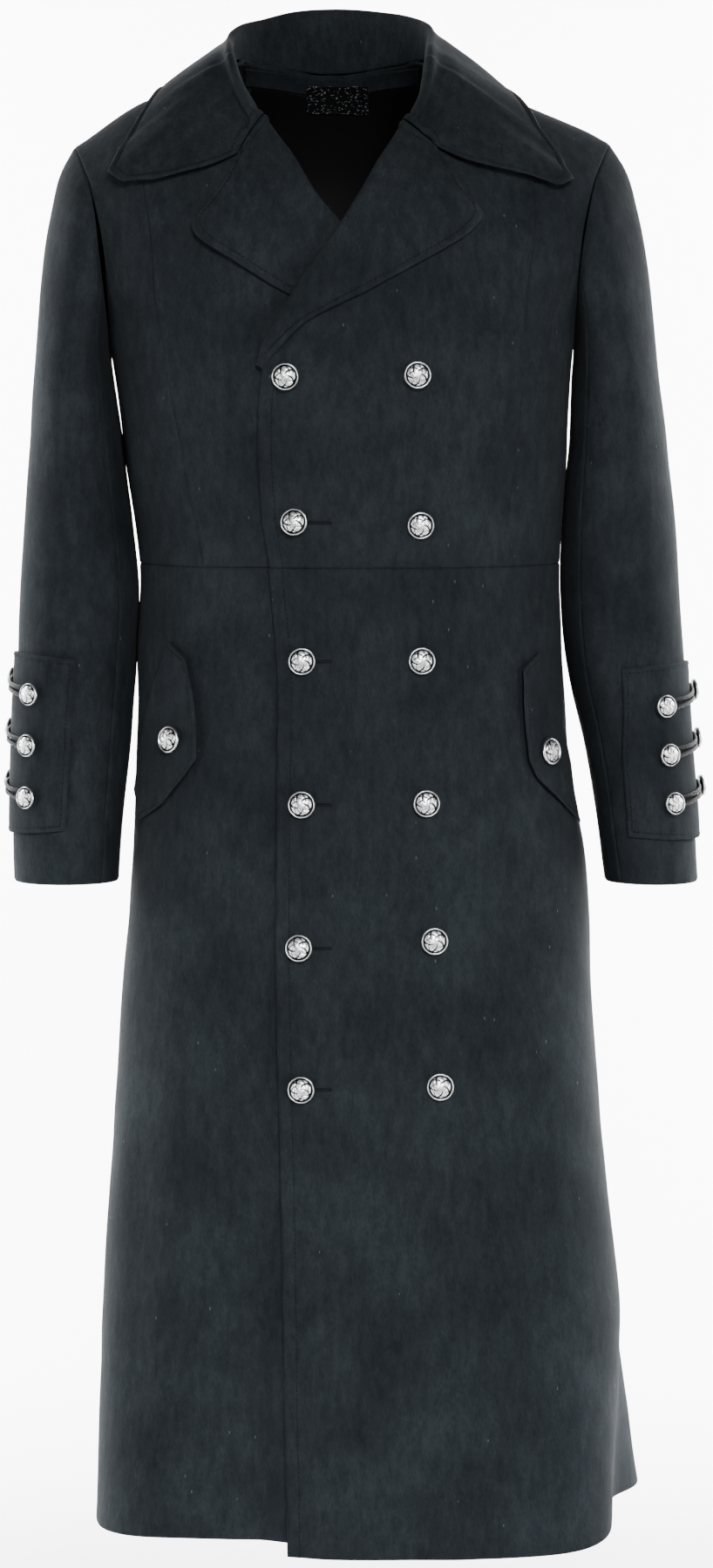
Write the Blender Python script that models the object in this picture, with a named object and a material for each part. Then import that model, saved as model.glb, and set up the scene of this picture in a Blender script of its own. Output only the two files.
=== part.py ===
# A long double-breasted wool overcoat, filled out as if worn and held up by its shoulders.
# +Z is up, the front faces -Y and +X is the wearer's left. The origin is the middle of the
# shoulder line at the base of the neck. Sizes and tables are in millimetres, and each mesh
# is scaled to metres when it is made.

import math

import bmesh
import bpy
import numpy as np
from mathutils import Matrix, Vector

# Driving dimensions
METRES = 0.001
CLOTH = 2.5
LINING = 1.2
SEAM_GAP = 0.2
FOLD_CLEARANCE = 1.2
LINING_CLEARANCE = 1.8
WAIST_Z = -427.0
CHEST_Z = -250.0
HEM_Z = -1259.0
OVERLAP_LIFT = 3.9
LAPEL_LIFT = 3.8
FRONT_ROUNDNESS = 1.9
BACK_ROUNDNESS = 3.2
NECK_LEFT_X = 76.0
NECK_RIGHT_X = -93.0
NECK_DEPTH = 80.0
SHOULDER_TIP = 232.0
FRONT_BUTTON_RADIUS = 11.5
CUFF_BUTTON_RADIUS = 9.8
CORD_RADIUS = 1.5
SKIRT_ROWS = 11

LEFT = 1
RIGHT = -1
SIDE_NAMES = {LEFT: "left", RIGHT: "right"}

# How far each front's hem hangs below the back's, and the stretch over which that fades out
# towards the side, as the sine of the direction round the coat
FRONT_HEM_DROP = {LEFT: 7.0, RIGHT: -4.0}
HEM_DROP_FADE = (0.3, 0.75)

# Level sections of the body: where its right and left sides are, how far it reaches to the
# front and to the back, and how square it is. Above the chest the sides run on past the
# armholes, which cut them off.
SECTION_FIELDS = ("z", "right", "left", "front", "back", "squareness")
SECTIONS = (
    (60, -275, 275, 116, 100, 2.4),
    (-66, -270, 270, 130, 114, 2.4),
    (-84, -264, 264, 132, 117, 2.4),
    (-121, -241, 241, 134, 121, 2.4),
    (-148, -229, 229, 135, 124, 2.4),
    (-170, -220, 221, 136, 125, 2.4),
    (-193, -211, 211, 137, 125, 2.4),
    (-210, -204.5, 204.5, 137, 125, 2.4),
    (-235, -201, 201, 138, 124, 2.4),
    (-262, -196.5, 198, 138, 122, 2.4),
    (-303, -190.5, 196, 138, 118, 2.4),
    (-343, -187, 194, 136, 113, 2.4),
    (-397, -178.5, 190, 131, 107, 2.4),
    (-427, -174.5, 188.5, 129, 105, 2.4),
    (-495, -176.5, 191.5, 134, 114, 2.45),
    (-552, -176, 195.5, 139, 122, 2.5),
    (-609, -178.5, 200.5, 144, 129, 2.6),
    (-666, -182, 210, 149, 136, 2.7),
    (-781, -189, 216.5, 158, 148, 2.8),
    (-935, -198.5, 228, 167, 159, 2.9),
    (-1098, -209, 246, 174, 170, 3.0),
    (-1270, -212, 259, 178, 180, 3.0),
)

# The top line of the shoulders, from the wearer's right to the left
RIDGE = ((-260, -84), (-240, -76), (-232, -67.5), (-222, -61), (-212, -54), (-201, -46.5),
         (-189, -39), (-174, -31), (-155, -25), (-130, -15), (-93, 3), (-88.5, 7.6), (-78.5, 11.8),
         (-67, 17.7), (-48.5, 28.6), (-30, 37), (-8.5, 41.4), (13, 37), (31.5, 28.6), (50, 17.7),
         (61.5, 11.8), (71.5, 7.6), (76, 3), (110, -12), (142, -24), (159, -31.5), (176, -39),
         (194, -46.5), (213, -54), (232, -64), (240, -72), (260, -84))

# Heights of the rows of a bodice panel where it ends at the side and the armhole
UNDERARM_ROW = 5
SIDE_ROWS = (-427, -379, -331, -283, -259, -235, -208, -180, -150, -122, -98, -80, -70, -66)

# Half width of the armhole at each height, the front and the back edge alike
ARMHOLE = ((-235, 201), (-220, 201.6), (-200, 202.3), (-175, 203.7), (-150, 206.5),
           (-131, 209.5), (-114, 213.5), (-94, 219), (-84, 223), (-74, 228), (-66, 232))

# The front edges, x at each height: up the closing edge, then the lapel's fold line
LEFT_EDGE = ((-1270, -45), (-1050, -49), (-900, -52), (-724, -55), (-600, -54), (-509, -54),
             (-462, -58), (-427, -61.5), (-399, -66), (-350, -70), (-315, -71), (-278, -69.5),
             (-247, -63), (-229, -56), (-200, -40), (-170, -22), (-145, -3), (-115, 16.6),
             (-84, 34.4), (-56, 51.5), (-41, 58.3), (-29, 65), (-12, 69.5), (3, NECK_LEFT_X))
RIGHT_EDGE = ((-1270, 78), (-900, 76), (-600, 72), (-427, 68), (-399, 71), (-350, 74),
              (-315, 75), (-280, 72), (-247, 64), (-228, 52), (-195, 34), (-160, 14),
              (-133, -5), (-113, -23), (-81, -43), (-53, -63), (-34, -73), (-19, -82),
              (-6, -87), (3, NECK_RIGHT_X))

# The shaped seam between a front panel and its side panel, x at each height
LEFT_PRINCESS = ((-427, 139), (-350, 146), (-293, 152), (-201, 158), (-165, 163),
                 (-129, 166), (-105, 165), (-24, 152))
RIGHT_PRINCESS = ((-427, -118), (-416, -120), (-360, -131), (-300, -142), (-250, -151),
                  (-210, -158), (-165, -161), (-129, -165), (-100, -169), (-24, -154))

# Folds of the skirt: the direction they lie in, half their width, both in degrees, how far
# they stand out at the hem, and the height where they begin. 90 degrees is the front.
# Columns: direction, half width, height at the hem, height where it begins
FOLDS = (
    (124, 13, -13, -760),
    (150, 17, 7, -700),
    (80, 26, 9, -560),
    (42, 20, 8, -760),
    (8, 18, -27, -1060),
    (-32, 11, 23, -940),
    (-42, 18, 13, -700),
    (-66, 13, -13, -600),
    (-90, 14, 12, -560),
    (-114, 13, -13, -600),
    (-138, 18, 12, -700),
    (-163, 14, -10, -900),
)

# The sleeves: outer and inner side, middle and half depth from front to back, by height
SLEEVE_FIELDS = ("z", "outer", "inner", "middle_y", "half_depth")
LEFT_SLEEVE = (
    (-262, 275, 200.3, 2, 68),
    (-306, 281, 198.5, 2, 70),
    (-363, 287.5, 194.8, 1, 68),
    (-419, 292, 190.2, 0, 64),
    (-476, 295, 191.8, -2, 60),
    (-514, 298, 194.6, -4, 58),
    (-552, 300, 204.5, -6, 56),
    (-590, 302, 210.5, -8, 54),
    (-646, 307.5, 221, -11, 52),
    (-703, 310.5, 229.5, -14, 51),
)
RIGHT_SLEEVE = (
    (-262, 266, 199, 2, 68),
    (-306, 269.5, 192.5, 2, 70),
    (-363, 273.5, 186.5, 1, 68),
    (-419, 277.5, 177.2, 0, 64),
    (-476, 280.7, 177.6, -2, 60),
    (-514, 282.3, 179.4, -4, 58),
    (-552, 284, 182.5, -6, 56),
    (-590, 285.3, 184.5, -8, 54),
    (-646, 285.4, 189.5, -11, 52),
    (-703, 284.7, 193.6, -14, 51),
)
CAP_STEPS = (0.12, 0.3, 0.55, 0.8)
CAP_FULLNESS = {LEFT: 12.0, RIGHT: 9.5}
CAP_DEPTH_SHARE = 0.6
UNDERARM_FULLNESS = 0.6
ARMHOLE_MITRE_DROP = 0.25
FRONT_SLEEVE_SEAM = 2
BACK_SLEEVE_SEAM = 13

# The collar from its front end to the middle of the back: where it is sewn on, its fold
# line and its outer edge. On the front the fold line stands this high over the seam. On
# the back neck the seam's place is its direction in degrees, and the fold line's is given.
# Columns: seam z, stand, fold line x, edge x, edge y, edge z
LEFT_FRONT_COLLAR = (
    (-43, 10, 62, 112, -100, -84),
    (-34, 11, 66, 160, -90, -94),
    (-28, 12, 68.5, 186, -85, -103),
    (-22, 13, 70, 198, -75, -97),
    (-12, 16, 71.5, 188, -60, -81),
    (-4, 19, 72, 167, -42, -62),
    (2, 22, 72.5, 155, -22, -45),
)
RIGHT_FRONT_COLLAR = (
    (-40, 10, -77, -116, -100, -88),
    (-32, 11, -81, -157, -92, -98),
    (-26, 12, -84, -188, -85, -99),
    (-20, 13, -86, -200, -75, -90),
    (-12, 16, -89, -191, -60, -70),
    (-5, 19, -91, -176, -42, -55),
    (1, 22, -92, -163, -22, -39),
)
# Columns: direction, fold line x, y and z, edge x, y and z
LEFT_BACK_COLLAR = (
    (8, 73, 16, 30, 146, 2, -27),
    (20, 71, 30, 36.5, 137, 32, -26),
    (34, 64, 51, 42.5, 119, 64, -26),
    (50, 50, 69, 47.5, 84, 85, -28),
    (68, 28, 80, 50, 43, 95, -31),
)
RIGHT_BACK_COLLAR = (
    (8, -92, 16, 25, -154, 2, -28),
    (20, -90, 30, 31, -147, 32, -26),
    (34, -82, 51, 38, -129, 64, -26),
    (50, -66, 69, 43.5, -96, 85, -28),
    (68, -42, 80, 49.5, -56, 95, -31),
)
COLLAR_CENTRE = (90, -7, 84, 51, -7, 99, -33)
COLLAR_CLEARANCE = 5.0
COLLAR_BASE_GAP = 2.0
GORGE_GAP = 1.2
ROLL_RADIUS = 4.5
LEAF_BEND = 0.04

# The lapels, from the collar down to where the coat closes: the height on the fold line,
# and the point of the free edge that lies across from it
# Columns: fold line z, edge x, edge z
LEFT_LAPEL = (
    (-51.2, 79, -74), (-60, 90, -90), (-72, 103, -114), (-86, 118, -129), (-104, 106, -146),
    (-128, 85, -160), (-152, 56, -176), (-176, 26, -192), (-200, -4, -206.5),
    (-222, -31, -222), (-244, -55, -246),
)
RIGHT_LAPEL = (
    (-47.2, -86, -79), (-58, -97, -101), (-72, -112, -121), (-86, -124.5, -137),
    (-100, -118, -150), (-120, -90, -168), (-142, -62, -186), (-165, -36, -200),
    (-190, -8, -214), (-215, 24, -228), (-243, 55, -246),
)

# Buttons of the front: x and z of each, from the top down
LEFT_COLUMN = ((-46, -265), (-39, -388), (-33, -506), (-33, -627), (-35, -748), (-33, -867))
RIGHT_COLUMN = ((63, -264), (66, -390), (67, -506), (71, -626), (78, -742), (83, -865))

# The pocket flaps, from the top down: where the sewn edge and the free edge are
FLAP_FIELDS = ("sewn_x", "sewn_z", "free_x", "free_z")
LEFT_FLAP = (
    (168, -501, 151, -515), (180, -535, 151, -542), (189, -570, 153, -567),
    (196, -600, 156, -592), (199, -628, 162, -606), (202, -650, 176, -619),
)
RIGHT_FLAP = (
    (-145, -491, -129, -505), (-157, -525, -123, -534), (-166, -560, -120, -562),
    (-172, -595, -120, -590), (-176, -622, -132, -607), (-172, -646, -149, -628),
)
FLAP_BUTTONS = {LEFT: (172, -586), RIGHT: (-141, -575)}
FLAP_GAP = 1.9
FLAP_FLARE = 3.2
FLAP_BUTTON_LIFT = 1.0

# Cuff tabs and what they carry, as directions round the sleeve in degrees: 0 is the side
# next to the body, 90 the front and 180 the outside
TAB_FRONT = {
    LEFT: ((-662, 65), (-592, 72), (-519, 84)),
    RIGHT: ((-655, 90), (-592, 89), (-511, 88)),
}
TAB_BACK = 236
TAB_TOP_Z = {LEFT: -516, RIGHT: -508}
TAB_BOTTOM_Z = {LEFT: -661, RIGHT: -656}
TAB_LIFT = 3.6
TAB_END_BOW = 4.0
TAB_MIDDLE_Z = -600
CUFF_BUTTON_Z = {LEFT: (-549, -591, -633), RIGHT: (-539, -583, -628)}
CUFF_FRONT_BUTTON = {LEFT: 117, RIGHT: 127}
CUFF_BACK_BUTTON = {LEFT: 196, RIGHT: 204}
CUFF_BACK_RISE = 10
CUFF_SHANK = 5.0
FRONT_SHANK = 2.6
BUTTON_GAP = 0.5
LOOP_HALF_WIDTH = 4.2
LOOP_REACH = 1.12
LOOP_REST = 0.8

# Inside of the back: how far the neck facing's rows lie below the neck seam and how far its
# ends stay off the shoulders, and the rows of the lining with the share of the width each has.
# From its bend row up the lining's rows curve until the top one follows the facing.
FACING_DROPS = (16.0, 8.0, 1.5)
FACING_INSET = 15.0
FACING_LINING_GAP = 1.0
LINING_ROWS = (-420, -360, -300, -245, -205, -165, -128, -95, -66, -40, -10)
LINING_BEND_ROW = -128
LINING_SHARES = ((-420, 0.93), (-245, 0.93), (-205, 0.9), (-116, 0.9), (-40, 0.42), (-10, 0.34))

# The stretch of x over which the left front comes down onto the body beyond its buttons
OVERLAP_FADE = (92, 126)

# Two points on the left front's fold line. Over this width beyond it the right lapel, which
# the left front covers, goes from raised to pressed flat.
LAP_LINE = ((-63, -247), (-3, -145))
LAP_FADE = (6, 34)


def column(table, fields, name):
    return np.array([row[fields.index(name)] for row in table], float)


def smooth_between(low, high, value):
    t = np.clip((np.asarray(value, float) - low) / (high - low), 0.0, 1.0)
    return t * t * (3.0 - 2.0 * t)


# A smooth curve through the values of a table, with the slope at each row taken from its
# two neighbours.
def curve_through(places, values, at):
    order = np.argsort(places)
    places = places[order]
    values = values[order]
    slopes = np.gradient(values, places)
    at = np.clip(np.asarray(at, float), places[0], places[-1])
    row = np.clip(np.searchsorted(places, at) - 1, 0, len(places) - 2)
    width = places[row + 1] - places[row]
    t = (at - places[row]) / width
    blend = t * t * (3 - 2 * t)
    rise = values[row] + (values[row + 1] - values[row]) * blend
    bend = (t ** 3 - 2 * t ** 2 + t) * slopes[row] + (t ** 3 - t ** 2) * slopes[row + 1]
    return rise + bend * width


def from_pairs(pairs, at):
    points = np.array(pairs, float)
    order = np.argsort(points[:, 0])
    return np.interp(at, points[order, 0], points[order, 1])


def section_value(name, z):
    places = column(SECTIONS, SECTION_FIELDS, "z")
    return curve_through(places, column(SECTIONS, SECTION_FIELDS, name), z)


def unit(vectors):
    length = np.linalg.norm(vectors, axis=-1, keepdims=True)
    return vectors / np.maximum(length, 1e-9)


class BodyShape:
    # The body's outer surface. A level section is a squared ellipse. Above the chest its
    # depth closes to nothing at the top line of the shoulders.

    @staticmethod
    def section(z):
        right = section_value("right", z)
        left = section_value("left", z)
        return (left + right) / 2, (left - right) / 2, section_value("squareness", z)

    @staticmethod
    def depth(z, front):
        return np.where(front, section_value("front", z), section_value("back", z))

    @staticmethod
    def rise(x, z):
        return np.maximum((z - CHEST_Z) / (from_pairs(RIDGE, x) - CHEST_Z), 0.0)

    @staticmethod
    def closing(x, z, front):
        roundness = np.where(front, FRONT_ROUNDNESS, BACK_ROUNDNESS)
        rise = np.minimum(BodyShape.rise(x, z), 1.0)
        return (1.0 - rise ** roundness) ** (1.0 / roundness)

    @staticmethod
    def point(angle, z, front):
        centre, half, power = BodyShape.section(z)
        depth = BodyShape.depth(z, front)
        sideways = np.abs(np.cos(angle) / half) ** power
        reach = (sideways + np.abs(np.sin(angle) / depth) ** power) ** (-1.0 / power)
        x = centre + reach * np.cos(angle)
        y = -reach * np.sin(angle) * BodyShape.closing(x, z, front)
        return np.stack([x, y, z + 0.0 * x], axis=-1)

    # Direction in a level section in which the full section has this x
    @staticmethod
    def angle(x, z, front):
        centre, half, power = BodyShape.section(z)
        across = np.clip(np.abs(x - centre) / half, 0.0, 1.0)
        away = BodyShape.depth(z, front) * (1.0 - across ** power) ** (1.0 / power)
        return np.arctan2(np.where(front, away, -away), x - centre)

    @staticmethod
    def at(x, z, front=True):
        x = np.asarray(x, float)
        z = np.asarray(z, float)
        front = np.full(np.broadcast(x, z).shape, front)
        return BodyShape.point(BodyShape.angle(x, z, front), z, front)

    # How far out a point lies: 1 on the surface. The first form is even round the sides,
    # the second over the shoulders.
    @staticmethod
    def side_level(points, front):
        x, y, z = np.moveaxis(points, -1, 0)
        centre, half, power = BodyShape.section(z)
        depth = BodyShape.depth(z, front) * np.maximum(BodyShape.closing(x, z, front), 0.05)
        return np.abs((x - centre) / half) ** power + np.abs(y / depth) ** power

    @staticmethod
    def top_level(points, front):
        x, y, z = np.moveaxis(points, -1, 0)
        centre, half, power = BodyShape.section(z)
        across = np.minimum(np.abs((x - centre) / half), 1.0)
        depth = BodyShape.depth(z, front) * np.maximum((1.0 - across ** power) ** (1.0 / power), 0.05)
        roundness = np.where(front, FRONT_ROUNDNESS, BACK_ROUNDNESS)
        return np.abs(y / depth) ** roundness + BodyShape.rise(x, z) ** roundness

    @staticmethod
    def gradient(level, points, front):
        step = 0.05
        parts = []
        for axis in range(3):
            shift = np.zeros(3)
            shift[axis] = step
            parts.append((level(points + shift, front) - level(points - shift, front)) / (2 * step))
        return np.stack(parts, axis=-1)

    @staticmethod
    def normal(points, front):
        x, _, z = np.moveaxis(points, -1, 0)
        centre, half, power = BodyShape.section(z)
        across = np.minimum(np.abs((x - centre) / half), 1.0)
        side_weight = BodyShape.closing(x, z, front) ** 2
        top_weight = ((1.0 - across ** power) ** (1.0 / power)) ** 2
        side = unit(BodyShape.gradient(BodyShape.side_level, points, front))
        top = unit(BodyShape.gradient(BodyShape.top_level, points, front))
        return unit(side * side_weight[..., None] + top * top_weight[..., None])

    # Moves points out until they stand at least this far off the surface
    @staticmethod
    def stand_off(points, distance):
        points = np.array(points, float)
        for _ in range(8):
            front = points[..., 1] < 0
            slope = BodyShape.gradient(BodyShape.top_level, points, front)
            steepness = np.maximum(np.linalg.norm(slope, axis=-1), 1e-6)
            gap = (BodyShape.top_level(points, front) - 1.0) / steepness
            short = np.clip(distance - gap, 0.0, 6.0)
            points = points + unit(slope) * short[..., None]
        return points


# How far the left front stands off the right one that it laps over. It stands off more
# where the right lapel lies between them.
def overlap_lift(x, z):
    side_fade = 1.0 - smooth_between(*OVERLAP_FADE, x)
    base = OVERLAP_LIFT * (1.0 - smooth_between(-120, -55, z))
    lapel = LAPEL_LIFT * smooth_between(-280, -258, z) * (1.0 - smooth_between(-138, -70, z))
    return (base + lapel) * side_fade


# Skirt surface: the level section plus its folds, and the left front's lap over the right
def skirt_point(angle, z):
    front = np.sin(angle) >= 0
    points = BodyShape.point(angle, z, front)
    outward = BodyShape.normal(points, front)
    fold = np.zeros_like(angle)
    for direction, half_width, height, start in FOLDS:
        turn = np.degrees(angle) - direction
        turn = (turn + 180.0) % 360.0 - 180.0
        across = np.clip(1.0 - (turn / (2.0 * half_width)) ** 2, 0.0, 1.0) ** 2
        fall = np.clip((start - z) / (start - HEM_Z), 0.0, None) ** 1.4
        fold = fold + height * across * fall
    outward = outward * np.array([1.0, 1.0, 0.0])
    return points + unit(outward) * fold[..., None]


# Normals of a grid of points, along the cross product of its columns and its rows
def grid_normals(points, closed=False):
    if closed:
        across = np.roll(points, -1, axis=1) - np.roll(points, 1, axis=1)
    else:
        across = np.gradient(points, axis=1)
    along = np.gradient(points, axis=0)
    return unit(np.cross(across, along))


def skirt_normal(angle, z):
    step = 0.004
    lift = 4.0
    across = skirt_point(angle + step, z) - skirt_point(angle - step, z)
    along = skirt_point(angle, z + lift) - skirt_point(angle, z - lift)
    return unit(np.cross(along, across))


def make_material(name, colour, roughness, metallic):
    material = bpy.data.materials.new(name)
    material.use_nodes = True
    shader = material.node_tree.nodes["Principled BSDF"]
    shader.inputs["Base Color"].default_value = (*colour, 1.0)
    shader.inputs["Roughness"].default_value = roughness
    shader.inputs["Metallic"].default_value = metallic
    return material


def add_object(name, mesh, material):
    mesh.materials.append(material)
    mesh.shade_smooth()
    mesh.set_sharp_from_angle(angle=math.radians(40))
    thing = bpy.data.objects.new(name, mesh)
    bpy.context.scene.collection.objects.link(thing)
    return thing


# A cloth piece: a grid of points for its face, the same grid moved by the inward vectors for
# its back, and a rim round the edge.
def add_cloth(name, face, inward, material):
    rows, columns = face.shape[:2]
    back = face + inward
    vertices = np.concatenate([face.reshape(-1, 3), back.reshape(-1, 3)]) * METRES
    offset = rows * columns
    faces = []
    for r in range(rows - 1):
        for c in range(columns - 1):
            corner = r * columns + c
            quad = (corner, corner + 1, corner + columns + 1, corner + columns)
            faces.append(quad)
            faces.append(tuple(offset + i for i in reversed(quad)))
    rim = [c for c in range(columns)]
    rim += [r * columns + columns - 1 for r in range(1, rows)]
    rim += [(rows - 1) * columns + c for c in range(columns - 2, -1, -1)]
    rim += [r * columns for r in range(rows - 2, 0, -1)]
    for here, there in zip(rim, rim[1:] + rim[:1]):
        faces.append((there, here, offset + here, offset + there))
    mesh = bpy.data.meshes.new(name)
    mesh.from_pydata([tuple(v) for v in vertices], [], faces)
    work = bmesh.new()
    work.from_mesh(mesh)
    bmesh.ops.triangulate(work, faces=work.faces[:])
    bmesh.ops.recalc_face_normals(work, faces=work.faces[:])
    work.to_mesh(mesh)
    work.free()
    return add_object(name, mesh, material)


EDGES = {
    "bottom": (lambda g: g[0], lambda g: g[1]),
    "top": (lambda g: g[-1], lambda g: g[-2]),
    "first": (lambda g: g[:, 0], lambda g: g[:, 1]),
    "last": (lambda g: g[:, -1], lambda g: g[:, -2]),
}


# Moves the named edges of a piece back from its seams by the seam gap
def pull_back(face, inward, *edges, gap=SEAM_GAP):
    moves = []
    for edge in edges:
        take, neighbour = EDGES[edge]
        line = take(face)
        away = unit(np.cross(np.gradient(line, axis=0), unit(take(inward))))
        toward = np.sum(away * (neighbour(face) - line), axis=-1, keepdims=True)
        moves.append((take, away * np.sign(toward) * gap))
    for take, move in moves:
        take(face)[...] += move


# Bodice

def row_shares():
    rows = np.array(SIDE_ROWS, float)
    return (rows - WAIST_Z) / (rows[-1] - WAIST_Z)


def neck_share(x):
    middle = (NECK_LEFT_X + NECK_RIGHT_X) / 2
    half = (NECK_LEFT_X - NECK_RIGHT_X) / 2
    across = np.clip(np.abs(x - middle) / half, 0.0, 1.0)
    inside = NECK_DEPTH * np.sqrt(1.0 - across ** 2)
    centre, width, power = BodyShape.section(0.0)
    closeness = (1.0 - np.abs((x - centre) / width) ** power) ** (1.0 / power)
    depth = BodyShape.depth(0.0, False) * closeness
    return (1.0 - (inside / depth) ** BACK_ROUNDNESS) ** (1.0 / BACK_ROUNDNESS)


# Top of a bodice panel at x: the shoulder line, and behind the neck the neck's curve
def panel_top(x, front):
    top = from_pairs(RIDGE, x)
    if front:
        return top
    return CHEST_Z + neck_share(x) * (top - CHEST_Z)


# A bodice panel between two lines, each given as x for a height. Its columns are spread
# between them as directions in the level sections.
def bodice_panel(first_line, last_line, top_first, top_last, columns, front):
    shares = row_shares()[:, None]
    spread = np.linspace(0.0, 1.0, columns)[None, :]
    top_x = top_first + (top_last - top_first) * spread
    top_z = panel_top(top_x, front)
    z = WAIST_Z + (top_z - WAIST_Z) * shares
    facing = np.full(z.shape, front)
    first = BodyShape.angle(first_line(z[:, :1]), z[:, :1], facing[:, :1])
    last = BodyShape.angle(last_line(z[:, -1:]), z[:, -1:], facing[:, -1:])
    angle = first + (last - first) * spread
    near_top = smooth_between(0.5, 0.85, shares)
    x = first_line(z[:, :1]) + (last_line(z[:, -1:]) - first_line(z[:, :1])) * spread
    x[-1:] = top_x
    angle = angle + (BodyShape.angle(x, z, facing) - angle) * near_top
    face = BodyShape.point(angle, z, facing)
    return face, BodyShape.normal(face, facing)


def side_line(side):
    def line(z):
        centre, half, _ = BodyShape.section(z)
        below = centre + side * half
        edge = side * from_pairs(ARMHOLE, z)
        return np.where(z <= ARMHOLE[0][0] + 0.01, below, edge)
    return line


def centre_back_line(z):
    return BodyShape.section(z)[0]


# Sleeves

def sleeve_table(side):
    return LEFT_SLEEVE if side == LEFT else RIGHT_SLEEVE


def sleeve_point(side, turn, z):
    table = sleeve_table(side)
    places = column(table, SLEEVE_FIELDS, "z")
    outer = curve_through(places, column(table, SLEEVE_FIELDS, "outer"), z)
    inner = curve_through(places, column(table, SLEEVE_FIELDS, "inner"), z)
    middle = curve_through(places, column(table, SLEEVE_FIELDS, "middle_y"), z)
    depth = curve_through(places, column(table, SLEEVE_FIELDS, "half_depth"), z)
    x = side * ((outer + inner) / 2 - (outer - inner) / 2 * np.cos(turn))
    y = middle - depth * np.sin(turn)
    return np.stack([x, y, z + 0.0 * x], axis=-1)


def sleeve_normal(side, turn, z):
    step = 0.02
    across = sleeve_point(side, turn + step, z) - sleeve_point(side, turn - step, z)
    along = sleeve_point(side, turn, z + 2.0) - sleeve_point(side, turn, z - 2.0)
    return unit(np.cross(across, along)) * side


# The armhole's edge from the underarm up the front, over the shoulder and down the back
def armhole_loop(side):
    front_side = bodice_panel(princess_line(side), side_line(side), princess_top(side),
                              side * SHOULDER_TIP, 3, True)
    back_side = bodice_panel(centre_back_line, side_line(side), 0.0,
                             side * SHOULDER_TIP, 3, False)
    loops = []
    for part in range(2):
        up = front_side[part][UNDERARM_ROW:, -1]
        down = back_side[part][UNDERARM_ROW:, -1][::-1]
        loops.append(np.concatenate([up, down[1:-1]]))
    return loops


def sleeve_rings(side):
    edge, edge_normal = armhole_loop(side)
    count = len(edge)
    step = np.linalg.norm(np.roll(edge, -1, axis=0) - edge, axis=1)
    half = count // 2
    travelled = np.concatenate([[0.0], np.cumsum(step)])
    up = travelled[:half + 1] / travelled[half] * math.pi
    way_down = travelled[half + 1:count] - travelled[half]
    down = math.pi + way_down / (travelled[count] - travelled[half]) * math.pi
    by_length = np.concatenate([up, down])
    even = np.arange(count) / count * 2 * math.pi
    first_z = sleeve_table(side)[0][0]
    rings = [edge]
    for step_share in CAP_STEPS:
        turn = by_length + (even - by_length) * step_share
        level = sleeve_point(side, turn, first_z)
        ring = edge + (level - edge) * step_share
        swell = CAP_FULLNESS[side] * math.sin(math.pi * step_share ** 0.6)
        ring[:, 0] += side * swell * np.clip(-np.cos(turn), 0.0, 1.0)
        underarm = UNDERARM_FULLNESS * math.sin(math.pi * step_share)
        ring[:, 0] += side * underarm * np.clip(np.cos(turn), 0.0, 1.0)
        ring[:, 1] -= CAP_DEPTH_SHARE * swell * np.sin(turn)
        rings.append(ring)
    heights = np.linspace(first_z, sleeve_table(side)[-1][0], 8)
    for z in heights:
        rings.append(sleeve_point(side, even, z))
    rings = np.array(rings)
    normals = grid_normals(rings, closed=True) * -side
    mitre = unit(normals[0] + edge_normal - np.array([0.0, 0.0, ARMHOLE_MITRE_DROP]))
    normals[0] = mitre
    return rings, normals, mitre


def add_sleeve(side, cloth):
    rings, normals, _ = SLEEVES[side]
    inward = -CLOTH * normals
    around = np.gradient(np.concatenate([rings[0, -1:], rings[0], rings[0, :1]]), axis=0)[1:-1]
    away = unit(np.cross(around, normals[0]))
    away *= np.sign(away[:, :1] * side)
    rings = rings.copy()
    rings[0] += away * SEAM_GAP
    count = rings.shape[1]
    spans = {
        "sleeve_top": list(range(FRONT_SLEEVE_SEAM, BACK_SLEEVE_SEAM + 1)),
        "sleeve_under": [i % count for i in range(BACK_SLEEVE_SEAM, count + FRONT_SLEEVE_SEAM + 1)],
    }
    for name, span in spans.items():
        face = rings[:, span].copy()
        back = inward[:, span]
        pull_back(face, back, "first", "last")
        add_cloth(f"{name}_{SIDE_NAMES[side]}", face, back, cloth)


# Pieces of the bodice, with the armhole edges mitred to the sleeves

def princess_line(side):
    pairs = LEFT_PRINCESS if side == LEFT else RIGHT_PRINCESS
    return lambda z: from_pairs(pairs, z)


def princess_top(side):
    pairs = LEFT_PRINCESS if side == LEFT else RIGHT_PRINCESS
    return pairs[-1][1]


def edge_line(side):
    pairs = LEFT_EDGE if side == LEFT else RIGHT_EDGE
    return lambda z: from_pairs(pairs, z)


def neck_x(side):
    return NECK_LEFT_X if side == LEFT else NECK_RIGHT_X


def front_face(side, columns):
    face, normals = bodice_panel(edge_line(side), princess_line(side), neck_x(side),
                                 princess_top(side), columns, True)
    if side == LEFT:
        face = face + normals * overlap_lift(face[..., 0], face[..., 2])[..., None]
    return face, normals


def mitre_armhole(face, inward, side, front):
    _, _, mitre = SLEEVES[side]
    half = len(mitre) // 2
    if front:
        loop = mitre[:half + 1]
    else:
        loop = np.concatenate([mitre[half:], mitre[:1]])[::-1]
    inward[UNDERARM_ROW:, -1] = -CLOTH * loop
    line = face[UNDERARM_ROW:, -1]
    away = unit(np.cross(np.gradient(line, axis=0), loop))
    away *= -np.sign(away[:, :1] * side)
    apart = SEAM_GAP * np.array([0.0, -1.0 if front else 1.0, 0.0])
    face[UNDERARM_ROW:, -1] += away * SEAM_GAP
    face[:UNDERARM_ROW + 1, -1] += apart


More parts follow.
